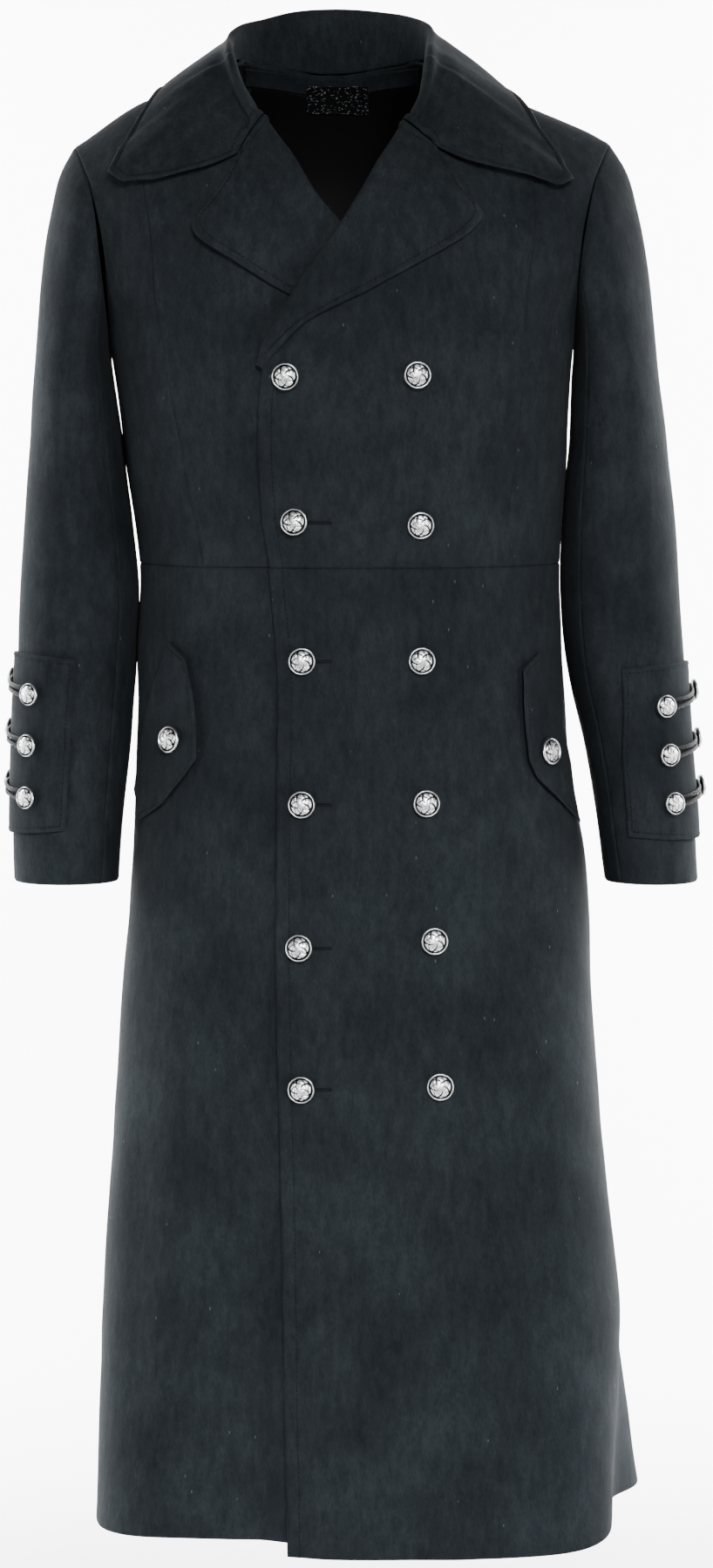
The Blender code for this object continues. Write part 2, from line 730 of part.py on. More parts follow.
def add_bodice(side, cloth):
    name = SIDE_NAMES[side]
    face, normals = front_face(side, 9)
    inward = -CLOTH * normals
    pull_back(face, inward, "bottom", "top", "last")
    pull_back(face, inward, "first", gap=FOLD_CLEARANCE)
    add_cloth(f"front_{name}", face, inward, cloth)

    face, normals = bodice_panel(princess_line(side), side_line(side), princess_top(side),
                                 side * SHOULDER_TIP, 6, True)
    inward = -CLOTH * normals
    pull_back(face, inward, "bottom", "top", "first")
    mitre_armhole(face, inward, side, True)
    add_cloth(f"side_front_{name}", face, inward, cloth)

    face, normals = bodice_panel(centre_back_line, side_line(side), 0.0,
                                 side * SHOULDER_TIP, 13, False)
    inward = -CLOTH * normals
    pull_back(face, inward, "bottom", "top", "first")
    mitre_armhole(face, inward, side, False)
    add_cloth(f"back_{name}", face, inward, cloth)


# Inside of the back: a piece that lies behind the back panels, made from their surface
def add_inner_back(name, x, z, material):
    face = BodyShape.at(x, z, False)
    normals = BodyShape.normal(face, np.full(x.shape, False))
    add_cloth(name, face - normals * (CLOTH + LINING_CLEARANCE), -LINING * normals, material)


def add_neck_facing(cloth):
    top_x = np.linspace(NECK_RIGHT_X + FACING_INSET, NECK_LEFT_X - FACING_INSET, 13)[None, :]
    drop = np.array(FACING_DROPS)[:, None]
    z = panel_top(top_x, False) - drop
    add_inner_back("back_neck_facing", top_x + 0.0 * z, z, cloth)


def add_back_lining(lining):
    rows = np.array(LINING_ROWS, float)[:, None]
    below = rows < ARMHOLE[0][0]
    half = np.where(below, BodyShape.section(rows)[1], from_pairs(ARMHOLE, rows))
    spread = np.linspace(-1.0, 1.0, 13)[None, :]
    x = BodyShape.section(rows)[0] + spread * half * from_pairs(LINING_SHARES, rows)
    below_facing = panel_top(x, False) - FACING_DROPS[0] - FACING_LINING_GAP
    share = np.clip((rows - LINING_BEND_ROW) / (LINING_ROWS[-1] - LINING_BEND_ROW), 0.0, 1.0)
    z = rows + (below_facing - LINING_ROWS[-1]) * share ** 2
    add_inner_back("back_lining", x, z, lining)


# Skirt

def skirt_panel(first, last, columns, lift, drop):
    z = np.linspace(WAIST_Z, HEM_Z, SKIRT_ROWS)[:, None]
    front = np.full(z.shape, True)
    begin = first(z, front)
    end = last(z, front)
    angle = begin + (end - begin) * np.linspace(0.0, 1.0, columns)[None, :]
    fallen = (z - WAIST_Z) / (HEM_Z - WAIST_Z)
    height = z - drop * fallen * smooth_between(*HEM_DROP_FADE, np.sin(angle))
    face = skirt_point(angle, height)
    normals = skirt_normal(angle, height)
    if lift:
        face = face + normals * overlap_lift(face[..., 0], face[..., 2])[..., None]
    return face, normals


def edge_angle(side):
    return lambda z, front: BodyShape.angle(edge_line(side)(z), z, front)


def fixed_angle(degrees):
    return lambda z, front: math.radians(degrees) + 0.0 * z


def add_skirt(cloth):
    pieces = (
        ("skirt_front_left", edge_angle(LEFT), fixed_angle(0), 14, ("bottom", "last"), LEFT),
        ("skirt_front_right", edge_angle(RIGHT), fixed_angle(180), 13, ("bottom", "last"), RIGHT),
        ("skirt_back_left", fixed_angle(0), fixed_angle(-90), 11, ("bottom", "first", "last"), None),
        ("skirt_back_right", fixed_angle(-90), fixed_angle(-180), 11, ("bottom", "first", "last"), None),
    )
    for name, first, last, columns, seams, front_side in pieces:
        drop = FRONT_HEM_DROP.get(front_side, 0.0)
        face, normals = skirt_panel(first, last, columns, front_side == LEFT, drop)
        inward = -CLOTH * normals
        pull_back(face, inward, *seams)
        add_cloth(name, face, inward, cloth)


# Collar and lapels

def back_neck_point(degrees, side):
    middle = (NECK_LEFT_X + NECK_RIGHT_X) / 2
    half = (NECK_LEFT_X - NECK_RIGHT_X) / 2
    x = np.array(middle + side * half * math.cos(math.radians(degrees)))
    return BodyShape.at(x, panel_top(x, False), False)


def collar_lift(point):
    lift = overlap_lift(point[0], point[2]) if point[0] > 40 and point[1] < 0 else 0.0
    return COLLAR_CLEARANCE + float(lift)


# The collar's section: up the inside of the stand, round the fold and down the leaf
def collar_profile(base, roll, edge):
    edge = BodyShape.stand_off(edge, collar_lift(edge))
    up = unit(roll - base)
    over = edge - roll
    over = unit(over - up * np.dot(over, up))
    centre = roll + over * ROLL_RADIUS - up
    arc = []
    for turn in np.radians((0, 60, 120, 180)):
        arc.append(centre + ROLL_RADIUS * (up * math.sin(turn) - over * math.cos(turn)))
    bend = (arc[-1] + edge) / 2 + up * LEAF_BEND * np.linalg.norm(edge - arc[-1])
    leaf = []
    for t in (0.2, 0.45, 0.72, 1.0):
        point = (1 - t) ** 2 * arc[-1] + 2 * t * (1 - t) * bend + t * t * edge
        leaf.append(BodyShape.stand_off(point, collar_lift(point)))
    return np.array([base, (base + arc[0]) / 2] + arc + leaf)


def front_collar_profile(row, side):
    seam_z, stand, roll_x, *edge = row
    seam = BodyShape.at(edge_line(side)(seam_z), seam_z)
    outward = BodyShape.normal(seam, np.array(True))
    roll = seam + outward * stand
    roll[0] = roll_x
    return collar_profile(seam + outward * COLLAR_BASE_GAP, roll, np.array(edge, float))


def back_collar_profile(row, side):
    direction, *numbers = row
    seam = back_neck_point(direction, side)
    outward = BodyShape.normal(seam, np.array(False))
    places = np.array(numbers, float)
    return collar_profile(seam + outward * COLLAR_BASE_GAP, places[:3], places[3:])


# The collar's front end lies along the lapel's top edge and has its section there
def gorge_profile(side):
    fold_z, edge_x, edge_z = (LEFT_LAPEL if side == LEFT else RIGHT_LAPEL)[0]
    fold_x = float(edge_line(side)(fold_z))
    along = unit(np.array((edge_x - fold_x, edge_z - fold_z)))
    shift = np.array((-along[1] * side, along[0] * side)) * GORGE_GAP
    fold = np.array((fold_x, fold_z)) + shift
    edge = np.array((edge_x, edge_z)) + shift
    return lapel_columns(*fold, *edge, side)


def add_collar(cloth):
    halves = {}
    tables = ((RIGHT, RIGHT_FRONT_COLLAR, RIGHT_BACK_COLLAR),
              (LEFT, LEFT_FRONT_COLLAR, LEFT_BACK_COLLAR))
    for side, front, back in tables:
        halves[side] = [gorge_profile(side)]
        halves[side] += [front_collar_profile(row, side) for row in front]
        halves[side] += [back_collar_profile(row, side) for row in back]
    face = np.array(halves[RIGHT] + [back_collar_profile(COLLAR_CENTRE, RIGHT)] + halves[LEFT][::-1])
    normals = -grid_normals(face)
    add_cloth("collar", face, -CLOTH * normals, cloth)


# Lapel: a leaf that lies over the front panel, turned round the panel's fold line. Its
# columns run from the inside of the fold to the free edge: how far along, in millimetres
# past the fold or as a share of the width, and how high over the panel.
FOLD_COLUMNS = ((3.7, -1.6), (4.2, 1.2), (2.0, 4.2), (-3.0, 5.6))
FLAT_FOLD_COLUMNS = ((3.3, -1.5), (3.5, 0.6), (1.9, 2.8), (-3.0, 3.3))
LEAF_COLUMNS = ((0.12, 6.2), (0.3, 7.2), (0.5, 7.2), (0.68, 6.4), (0.85, 5.2), (1.0, 4.2))
FLAT_LEAF_HEIGHT = 3.2


# 1 where the left front covers the right lapel, 0 where that is free to stand up
def covered_share(x, z):
    (x0, z0), (x1, z1) = LAP_LINE
    beyond = ((x1 - x0) * (z - z0) - (z1 - z0) * (x - x0)) / math.hypot(x1 - x0, z1 - z0)
    return 1.0 - float(smooth_between(*LAP_FADE, beyond))


def lapel_columns(fold_x, fold_z, edge_x, edge_z, side):
    width = math.hypot(edge_x - fold_x, edge_z - fold_z)
    columns = []
    for (past, height), (flat_past, flat_height) in zip(FOLD_COLUMNS, FLAT_FOLD_COLUMNS):
        limit = width * 0.3
        columns.append((-max(-limit, past) / width, height, flat_height))
    fold_top = FOLD_COLUMNS[-1][1]
    for share, height in LEAF_COLUMNS:
        start = min(3.0, width * 0.3) / width
        height = fold_top + (height - fold_top) * min(1.0, width / 40)
        columns.append((start + (1 - start) * share, height, FLAT_LEAF_HEIGHT))
    points = []
    for share, height, flat_height in columns:
        x = fold_x + (edge_x - fold_x) * share
        z = fold_z + (edge_z - fold_z) * share
        if side == RIGHT:
            height = height + (flat_height - height) * covered_share(x, z)
        point = BodyShape.at(x, z)
        outward = BodyShape.normal(point, np.array(True))
        base = overlap_lift(x, z) if side == LEFT else 0.0
        points.append(point + outward * (base + height))
    return points


def add_lapel(side, cloth):
    table = LEFT_LAPEL if side == LEFT else RIGHT_LAPEL
    rows = []
    for fold_z, edge_x, edge_z in table:
        fold_x = float(edge_line(side)(fold_z))
        rows.append(lapel_columns(fold_x, fold_z, edge_x, edge_z, side))
    face = np.array(rows)
    normals = grid_normals(face) * -side
    add_cloth(f"lapel_{SIDE_NAMES[side]}", face, -CLOTH * normals, cloth)


# Pocket flaps

def skirt_at(x, z, lift):
    x = np.asarray(x, float)
    z = np.asarray(z, float)
    angle = BodyShape.angle(x, z, np.full(x.shape, True))
    return skirt_point(angle, z) + skirt_normal(angle, z) * np.asarray(lift)[..., None]


def add_flap(side, cloth):
    table = LEFT_FLAP if side == LEFT else RIGHT_FLAP
    sewn_x, sewn_z, free_x, free_z = (column(table, FLAP_FIELDS, f)[:, None] for f in FLAP_FIELDS)
    across = np.linspace(0.0, 1.0, 5)[None, :]
    x = sewn_x + (free_x - sewn_x) * across
    z = sewn_z + (free_z - sewn_z) * across
    lift = CLOTH + FLAP_GAP + FLAP_FLARE * across ** 2 + 0.0 * z
    face = skirt_at(x, z, lift)
    normals = skirt_normal(BodyShape.angle(x, z, np.full(x.shape, True)), z)
    add_cloth(f"pocket_flap_{SIDE_NAMES[side]}", face, -CLOTH * normals, cloth)


# Buttons: a dome with a rim, on a shank that stands on the cloth

def button_mesh(name, radius, shank, sides):
    outline = ((0.0, -shank), (2.0, -shank), (2.0, 0.0), (radius * 0.84, 0.0), (radius, 1.3),
               (radius * 0.9, 2.9), (radius * 0.5, 4.6), (0.0, 5.2))
    mesh = bpy.data.meshes.new(name)
    work = bmesh.new()
    spine = [work.verts.new((r * METRES, 0.0, h * METRES)) for r, h in outline]
    edges = [work.edges.new(pair) for pair in zip(spine, spine[1:])]
    bmesh.ops.spin(work, geom=spine + edges, axis=(0, 0, 1), cent=(0, 0, 0), steps=sides,
                   angle=2 * math.pi, use_merge=True, use_duplicate=False)
    bmesh.ops.remove_doubles(work, verts=work.verts[:], dist=1e-6)
    bmesh.ops.triangulate(work, faces=work.faces[:])
    bmesh.ops.recalc_face_normals(work, faces=work.faces[:])
    work.to_mesh(mesh)
    work.free()
    return mesh


def add_button(name, place, outward, radius, shank, sides, metal):
    thing = add_object(name, button_mesh(name, radius, shank, sides), metal)
    base = place + outward * (shank + BUTTON_GAP)
    turn = Vector(outward).to_track_quat("Z", "Y").to_matrix().to_4x4()
    thing.matrix_world = Matrix.Translation(Vector(base) * METRES) @ turn
    return thing


def front_place(x, z):
    if z > WAIST_Z:
        point = BodyShape.at(x, z)
        outward = BodyShape.normal(point, np.array(True))
    else:
        angle = BodyShape.angle(np.array(float(x)), np.array(float(z)), np.array(True))
        point = skirt_point(angle, np.array(float(z)))
        outward = skirt_normal(angle, np.array(float(z)))
    return point + outward * float(overlap_lift(x, z)), outward


def add_front_buttons(metal):
    for title, places in (("edge", LEFT_COLUMN), ("side", RIGHT_COLUMN)):
        for number, (x, z) in enumerate(places, 1):
            place, outward = front_place(x, z)
            add_button(f"front_button_{title}_{number}", place, outward, FRONT_BUTTON_RADIUS,
                       FRONT_SHANK, 12, metal)


def add_flap_button(side, metal):
    x, z = FLAP_BUTTONS[side]
    angle = BodyShape.angle(np.array(float(x)), np.array(float(z)), np.array(True))
    outward = skirt_normal(angle, np.array(float(z)))
    place = skirt_point(angle, np.array(float(z))) + outward * (CLOTH + FLAP_GAP + FLAP_BUTTON_LIFT)
    add_button(f"flap_button_{SIDE_NAMES[side]}", place, outward, FRONT_BUTTON_RADIUS,
               FRONT_SHANK, 12, metal)


# Cuffs: the tab, its buttons and the cord loops between them

def tab_point(side, turn, z, lift):
    return sleeve_point(side, turn, z) + sleeve_normal(side, turn, z) * np.asarray(lift)[..., None]


def add_cuff_tab(side, cloth):
    rows = np.linspace(TAB_BOTTOM_Z[side], TAB_TOP_Z[side], 6)[:, None]
    start = np.radians(from_pairs(TAB_FRONT[side], rows))
    share = np.linspace(0.0, 1.0, 10)[None, :]
    turn = start + (math.radians(TAB_BACK) - start) * share
    z = rows + TAB_END_BOW * np.sin(share * math.pi) * np.where(rows > TAB_MIDDLE_Z, 1.0, -1.0)
    face = tab_point(side, turn, z, TAB_LIFT + 0.0 * turn)
    normals = sleeve_normal(side, turn, z)
    add_cloth(f"cuff_tab_{SIDE_NAMES[side]}", face, -CLOTH * normals, cloth)


def cuff_button_places(side, index):
    z = CUFF_BUTTON_Z[side][index]
    front = (math.radians(CUFF_FRONT_BUTTON[side]), z)
    back = (math.radians(CUFF_BACK_BUTTON[side]), z + CUFF_BACK_RISE)
    return front, back


def add_cuff_buttons(side, metal):
    for index in range(3):
        for title, (turn, z) in zip(("front", "back"), cuff_button_places(side, index)):
            turn = np.array(turn)
            z = np.array(float(z))
            place = tab_point(side, turn, z, np.array(TAB_LIFT))
            outward = sleeve_normal(side, turn, z)
            add_button(f"cuff_button_{SIDE_NAMES[side]}_{title}_{index + 1}", place, outward,
                       CUFF_BUTTON_RADIUS, CUFF_SHANK, 10, metal)


# A loop of cord that lies flat on the tab and goes round the shanks of two buttons
def loop_path(side, index):
    (turn_a, z_a), (turn_b, z_b) = cuff_button_places(side, index)
    ends = tab_point(side, np.array((turn_a, turn_b)), np.array((z_a, z_b), float), np.zeros(2))
    chord = np.linalg.norm(ends[1] - ends[0]) * LOOP_REACH
    run = np.linspace(0.0, 1.0, 7)
    bow = np.radians(np.linspace(-60, 60, 3))
    along = np.concatenate([run, 1 + np.cos(bow) * LOOP_HALF_WIDTH / chord, run[::-1],
                            -np.cos(bow) * LOOP_HALF_WIDTH / chord])
    aside = np.concatenate([-np.ones(7), np.sin(bow), np.ones(7), -np.sin(bow)]) * LOOP_HALF_WIDTH
    turn = turn_a + (turn_b - turn_a) * along
    z = z_a + (z_b - z_a) * along + aside
    lift = TAB_LIFT + LOOP_REST + CORD_RADIUS
    return tab_point(side, turn, z, lift + 0.0 * turn)


def add_cuff_loop(side, index, cord):
    name = f"cuff_loop_{SIDE_NAMES[side]}_{index + 1}"
    points = loop_path(side, index)
    curve = bpy.data.curves.new(name, "CURVE")
    curve.dimensions = "3D"
    curve.bevel_depth = CORD_RADIUS * METRES
    curve.bevel_resolution = 1
    spline = curve.splines.new("POLY")
    spline.points.add(len(points) - 1)
    for slot, point in zip(spline.points, points):
        slot.co = (*(point * METRES), 1.0)
    spline.use_cyclic_u = True
    curve.materials.append(cord)
    thing = bpy.data.objects.new(name, curve)
    bpy.context.scene.collection.objects.link(thing)
    return thing


for thing in list(bpy.data.objects):
    bpy.data.objects.remove(thing, do_unlink=True)

SLEEVES = {side: sleeve_rings(side) for side in (LEFT, RIGHT)}


def build_coat():
    wool = make_material("wool_felt", (0.017, 0.021, 0.026), 0.88, 0.0)
    satin = make_material("lining_satin", (0.004, 0.005, 0.007), 0.5, 0.0)
    metal = make_material("button_metal", (0.55, 0.56, 0.57), 0.32, 1.0)
    cord = make_material("braided_cord", (0.014, 0.017, 0.021), 0.8, 0.0)
    for side in (LEFT, RIGHT):
        add_bodice(side, wool)
        add_sleeve(side, wool)
        add_lapel(side, wool)
        add_flap(side, wool)
        add_flap_button(side, metal)
        add_cuff_tab(side, wool)
        add_cuff_buttons(side, metal)
        for index in range(3):
            add_cuff_loop(side, index, cord)
    add_skirt(wool)
    add_collar(wool)
    add_neck_facing(wool)
    add_back_lining(satin)
    add_front_buttons(metal)


build_coat()
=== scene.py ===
import math

import bpy
import numpy as np
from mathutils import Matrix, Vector


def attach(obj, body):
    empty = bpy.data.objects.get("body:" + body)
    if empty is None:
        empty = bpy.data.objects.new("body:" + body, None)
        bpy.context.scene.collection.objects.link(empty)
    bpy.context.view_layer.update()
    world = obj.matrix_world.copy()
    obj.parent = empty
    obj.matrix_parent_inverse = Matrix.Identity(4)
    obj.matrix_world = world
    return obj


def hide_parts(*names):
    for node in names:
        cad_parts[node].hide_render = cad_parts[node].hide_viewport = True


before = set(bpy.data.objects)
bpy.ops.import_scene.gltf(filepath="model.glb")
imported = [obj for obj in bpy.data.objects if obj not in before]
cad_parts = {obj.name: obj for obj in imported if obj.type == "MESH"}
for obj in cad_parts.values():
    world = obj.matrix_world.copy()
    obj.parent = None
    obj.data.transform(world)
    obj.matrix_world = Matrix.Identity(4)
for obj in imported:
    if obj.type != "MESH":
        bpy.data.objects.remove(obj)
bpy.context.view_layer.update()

# A long double-breasted wool overcoat, filled out as if worn. Everything is worked out in
# millimetres in the frame's own axes and goes into the meshes in metres.

mm = 0.001
left, right = 1, -1
sideName = {left: "left", right: "right"}
rootBody = "root"


# Curves and grids

def columnOf(table, fields, name):  # one named column of a table
    return np.array([row[fields.index(name)] for row in table], float)


def smoothStep(low, high, value):  # 0 below low, 1 above high, three t squared less two t cubed between
    t = np.clip((np.asarray(value, float) - low) / (high - low), 0.0, 1.0)
    return t * t * (3.0 - 2.0 * t)


# A cubic through the rows of a table, whose slope at a row comes from its two neighbours
def curveThrough(places, values, at):
    places = np.asarray(places, float)
    values = np.asarray(values, float)
    order = np.argsort(places)
    places, values = places[order], values[order]
    slopes = np.gradient(values, places, axis=0)
    at = np.clip(np.asarray(at, float), places[0], places[-1])
    row = np.clip(np.searchsorted(places, at) - 1, 0, len(places) - 2)
    width = places[row + 1] - places[row]
    t = (at - places[row]) / width
    extra = (1,) * (values.ndim - 1)
    t = t.reshape(t.shape + extra)
    width = width.reshape(width.shape + extra)
    rise = values[row] + (values[row + 1] - values[row]) * (t * t * (3 - 2 * t))
    bend = (t ** 3 - 2 * t ** 2 + t) * slopes[row] + (t ** 3 - t ** 2) * slopes[row + 1]
    return rise + bend * width


def pairsCurve(pairs, at):  # the same cubic through pairs of place and value
    points = np.array(pairs, float)
    return curveThrough(points[:, 0], points[:, 1], at)


def pairsLine(pairs, at):  # straight lines between pairs of place and value
    points = np.array(pairs, float)
    order = np.argsort(points[:, 0])
    return np.interp(at, points[order, 0], points[order, 1])


def unit(vectors):  # each vector divided by its length
    length = np.linalg.norm(vectors, axis=-1, keepdims=True)
    return vectors / np.maximum(length, 1e-9)


def gridNormals(grid):  # cross product of the steps along the columns and along the rows
    return unit(np.cross(np.gradient(grid, axis=1), np.gradient(grid, axis=0)))


def gridFaces(index):  # a four-sided face between each four neighbours of a grid
    return np.stack([index[:-1, :-1], index[:-1, 1:], index[1:, 1:], index[1:, :-1]], axis=-1).reshape(-1, 4)


def closedTubeFaces(index):  # faces from each ring of a tube to the next, and from its last to its first
    nextRing = np.roll(index, -1, axis=0)
    corners = (index, np.roll(index, -1, axis=1), np.roll(nextRing, -1, axis=1), nextRing)
    return np.stack(corners, axis=-1).reshape(-1, 4)


def smoothMesh(name, points, faces):  # from points in millimetres
    mesh = bpy.data.meshes.new(name)
    mesh.from_pydata((points * mm).tolist(), [], faces)
    mesh.shade_smooth()
    return mesh


def lengthsAlong(line):  # how far along a line each of its points lies
    return np.concatenate([[0.0], np.cumsum(np.linalg.norm(np.diff(line, axis=0), axis=1))])


# Materials

def linear(code):  # an sRGB hex colour as linear light
    values = [int(code[i:i + 2], 16) / 255 for i in (1, 3, 5)]
    return [v / 12.92 if v <= 0.04045 else ((v + 0.055) / 1.055) ** 2.4 for v in values] + [1.0]


def fillNode(tree, node, values):  # links each socket of the values, and sets each plain value
    for name, value in values.items():
        if isinstance(value, bpy.types.NodeSocket):
            tree.links.new(value, node.inputs[name])
        else:
            node.inputs[name].default_value = value


def addNode(tree, kind, inputs=None, **settings):
    made = tree.nodes.new("ShaderNode" + kind)
    for name, value in settings.items():
        setattr(made, name, value)
    fillNode(tree, made, inputs or {})
    return made


def startMaterial(name):
    material = bpy.data.materials.new(name)
    material.use_nodes = True
    tree = material.node_tree
    return material, tree, tree.nodes["Principled BSDF"]


def coordinates(tree, kind="Object"):
    return addNode(tree, "TexCoord").outputs[kind]


def calculate(tree, operation, first, second):
    return addNode(tree, "Math", {0: first, 1: second}, operation=operation).outputs[0]


def noise(tree, place, sizeMm, detail=2.0, roughness=0.5):
    return addNode(tree, "TexNoise", {"Vector": place, "Scale": 1000 / sizeMm, "Detail": detail,
                                      "Roughness": roughness}).outputs["Fac"]


def bumpFrom(tree, height, strength, depthMm):
    return addNode(tree, "Bump", {"Height": height, "Strength": strength, "Distance": depthMm * mm}).outputs["Normal"]


def mixColour(tree, factor, first, second):  # first where the factor is 0, the hex colour where it is 1
    mixer = addNode(tree, "MixRGB", {"Fac": factor, "Color1": first, "Color2": linear(second)})
    return mixer.outputs["Color"]


def steps(tree, fac, stops):  # a ramp of (place, hex colour)
    ramp = addNode(tree, "ValToRGB", {"Fac": fac})
    band = ramp.color_ramp
    while len(band.elements) < len(stops):
        band.elements.new(0.5)
    for element, (place, code) in zip(band.elements, stops):
        element.position = place
        element.color = linear(code)
    return ramp.outputs["Color"]


wool = {
    "dark": "#13171a", "middle": "#1b1f22", "light": "#24292c", "lint": "#5c6164",
    "cloudMm": 85.0, "napMm": 7.0, "fibreMm": 1.5, "napStretch": 2.6,
    "lintMm": 16.0, "lintSize": 0.035, "lintShare": 0.45,
    "roughness": 0.94, "sheen": 0.008, "sheenRoughness": 0.5, "specular": 0.05, "bumpMm": 0.5, "bump": 0.42,
}


# Melton wool: woven, milled until the weave is closed, then cropped. The eye sees a matt felt
# with soft clouds in its nap, a fine grain and a few pale lint hairs. The real fibres are 0.02 mm
# thick, so the grain is drawn at 1.5 mm to show at all.
def meltonWool():
    material, tree, shader = startMaterial("melton_wool")
    place = coordinates(tree)
    brushed = addNode(tree, "Mapping", {"Vector": place, "Scale": (1.0, 1.0, 1.0 / wool["napStretch"])})
    brushedPlace = brushed.outputs["Vector"]
    cloud = noise(tree, place, wool["cloudMm"], 3.0, 0.55)
    nap = noise(tree, brushedPlace, wool["napMm"], 4.0, 0.65)
    fibre = noise(tree, brushedPlace, wool["fibreMm"], 3.0, 0.7)
    tone = calculate(tree, "ADD", calculate(tree, "ADD", cloud, nap), fibre)
    tone = calculate(tree, "DIVIDE", tone, 3.0)
    colour = steps(tree, tone, ((0.38, wool["dark"]), (0.5, wool["middle"]), (0.62, wool["light"])))
    speck = addNode(tree, "TexVoronoi", {"Vector": brushedPlace, "Scale": 1000 / wool["lintMm"]}).outputs["Distance"]
    isLint = calculate(tree, "LESS_THAN", speck, wool["lintSize"])
    isLint = calculate(tree, "MULTIPLY", isLint, wool["lintShare"])
    colour = mixColour(tree, isLint, colour, wool["lint"])
    grain = calculate(tree, "ADD", nap, fibre)
    fillNode(tree, shader, {
        "Base Color": colour, "Roughness": wool["roughness"], "Specular IOR Level": wool["specular"],
        "Sheen Weight": wool["sheen"], "Sheen Roughness": wool["sheenRoughness"],
        "Normal": bumpFrom(tree, grain, wool["bump"], wool["bumpMm"])})
    return material


satin = {"dark": "#020203", "light": "#050507", "threadMm": 0.8, "roughness": 0.5, "specular": 0.15,
         "bump": 0.12, "bumpMm": 0.1}


# Satin lining: filament yarns that float over each other, so it is smooth with a low shine
def liningSatin():
    material, tree, shader = startMaterial("lining_satin_weave")
    weave = addNode(tree, "TexWave", {
        "Vector": coordinates(tree, "UV"), "Scale": 1000 / satin["threadMm"] / (2 * math.pi),
        "Distortion": 0.6, "Detail": 1.0}, bands_direction="X").outputs["Fac"]
    fillNode(tree, shader, {
        "Base Color": steps(tree, weave, ((0.0, satin["dark"]), (1.0, satin["light"]))),
        "Roughness": satin["roughness"], "Specular IOR Level": satin["specular"],
        "Normal": bumpFrom(tree, weave, satin["bump"], satin["bumpMm"])})
    return material


silver = {"recess": "#15171a", "slope": "#b4b6b8", "crown": "#f4f4f4", "roughness": 0.3, "scratchMm": 0.6,
          "wear": 0.35}


# Die-struck nickel-plated brass, blackened and then polished: the relief is bright and the
# ground between stays dark
def struckNickel():
    material, tree, shader = startMaterial("struck_nickel")
    relief = addNode(tree, "Attribute", attribute_name="relief").outputs["Fac"]
    shift = calculate(tree, "SUBTRACT", noise(tree, coordinates(tree), silver["scratchMm"]), 0.5)
    height = calculate(tree, "ADD", relief, calculate(tree, "MULTIPLY", shift, silver["wear"]))
    colour = steps(tree, height, ((0.26, silver["recess"]), (0.46, silver["slope"]), (0.62, silver["crown"])))
    fillNode(tree, shader, {"Base Color": colour, "Metallic": 1.0, "Roughness": silver["roughness"]})
    return material


cord = {"dark": "#020303", "light": "#0e1012", "fibreMm": 0.6, "roughness": 0.42, "specular": 0.1,
        "bump": 0.3, "bumpMm": 0.12}


# Braided rayon cord: filaments twisted into strands, so each strand catches a narrow shine
def rayonBraid():
    material, tree, shader = startMaterial("rayon_braid")
    fibre = noise(tree, coordinates(tree), cord["fibreMm"])
    fillNode(tree, shader, {
        "Base Color": steps(tree, fibre, ((0.35, cord["dark"]), (0.7, cord["light"]))),
        "Roughness": cord["roughness"], "Specular IOR Level": cord["specular"],
        "Normal": bumpFrom(tree, fibre, cord["bump"], cord["bumpMm"])})
    return material


labelLook = {"ground": "#050607", "fleck": "#6f7274", "fleckMm": 3.2, "fleckSize": 0.36, "roughness": 0.6,
             "specular": 0.08}


# Woven polyester label: a dark satin ground with small pale flecks where the second yarn comes up
def wovenLabel():
    material, tree, shader = startMaterial("woven_label")
    weave = addNode(tree, "Mapping", {"Vector": coordinates(tree, "UV"), "Scale": (1.0, 2.0, 1.0)})
    fleck = addNode(tree, "TexVoronoi", {"Vector": weave.outputs["Vector"], "Scale": 1000 / labelLook["fleckMm"]},
                    distance="MANHATTAN").outputs["Distance"]
    isFleck = calculate(tree, "LESS_THAN", fleck, labelLook["fleckSize"])
    fillNode(tree, shader, {
        "Base Color": mixColour(tree, isFleck, linear(labelLook["ground"]), labelLook["fleck"]),
        "Roughness": labelLook["roughness"], "Specular IOR Level": labelLook["specular"]})
    return material


thread = {"dark": "#08090a", "light": "#101214", "twistMm": 0.7, "roughness": 0.7, "specular": 0.08}


# Spun polyester sewing thread: a tight twist, a little darker and glossier than the wool it is in
def sewingThread():
    material, tree, shader = startMaterial("sewing_thread")
    twist = noise(tree, coordinates(tree), thread["twistMm"])
    fillNode(tree, shader, {
        "Base Color": steps(tree, twist, ((0.35, thread["dark"]), (0.65, thread["light"]))),
        "Roughness": thread["roughness"], "Specular IOR Level": thread["specular"]})
    return material


woolMaterial = meltonWool()
satinMaterial = liningSatin()
silverMaterial = struckNickel()
cordMaterial = rayonBraid()
threadMaterial = sewingThread()
labelMaterial = wovenLabel()
print("materials made")


# The body's surface: level squared ellipses that close towards the shoulder line

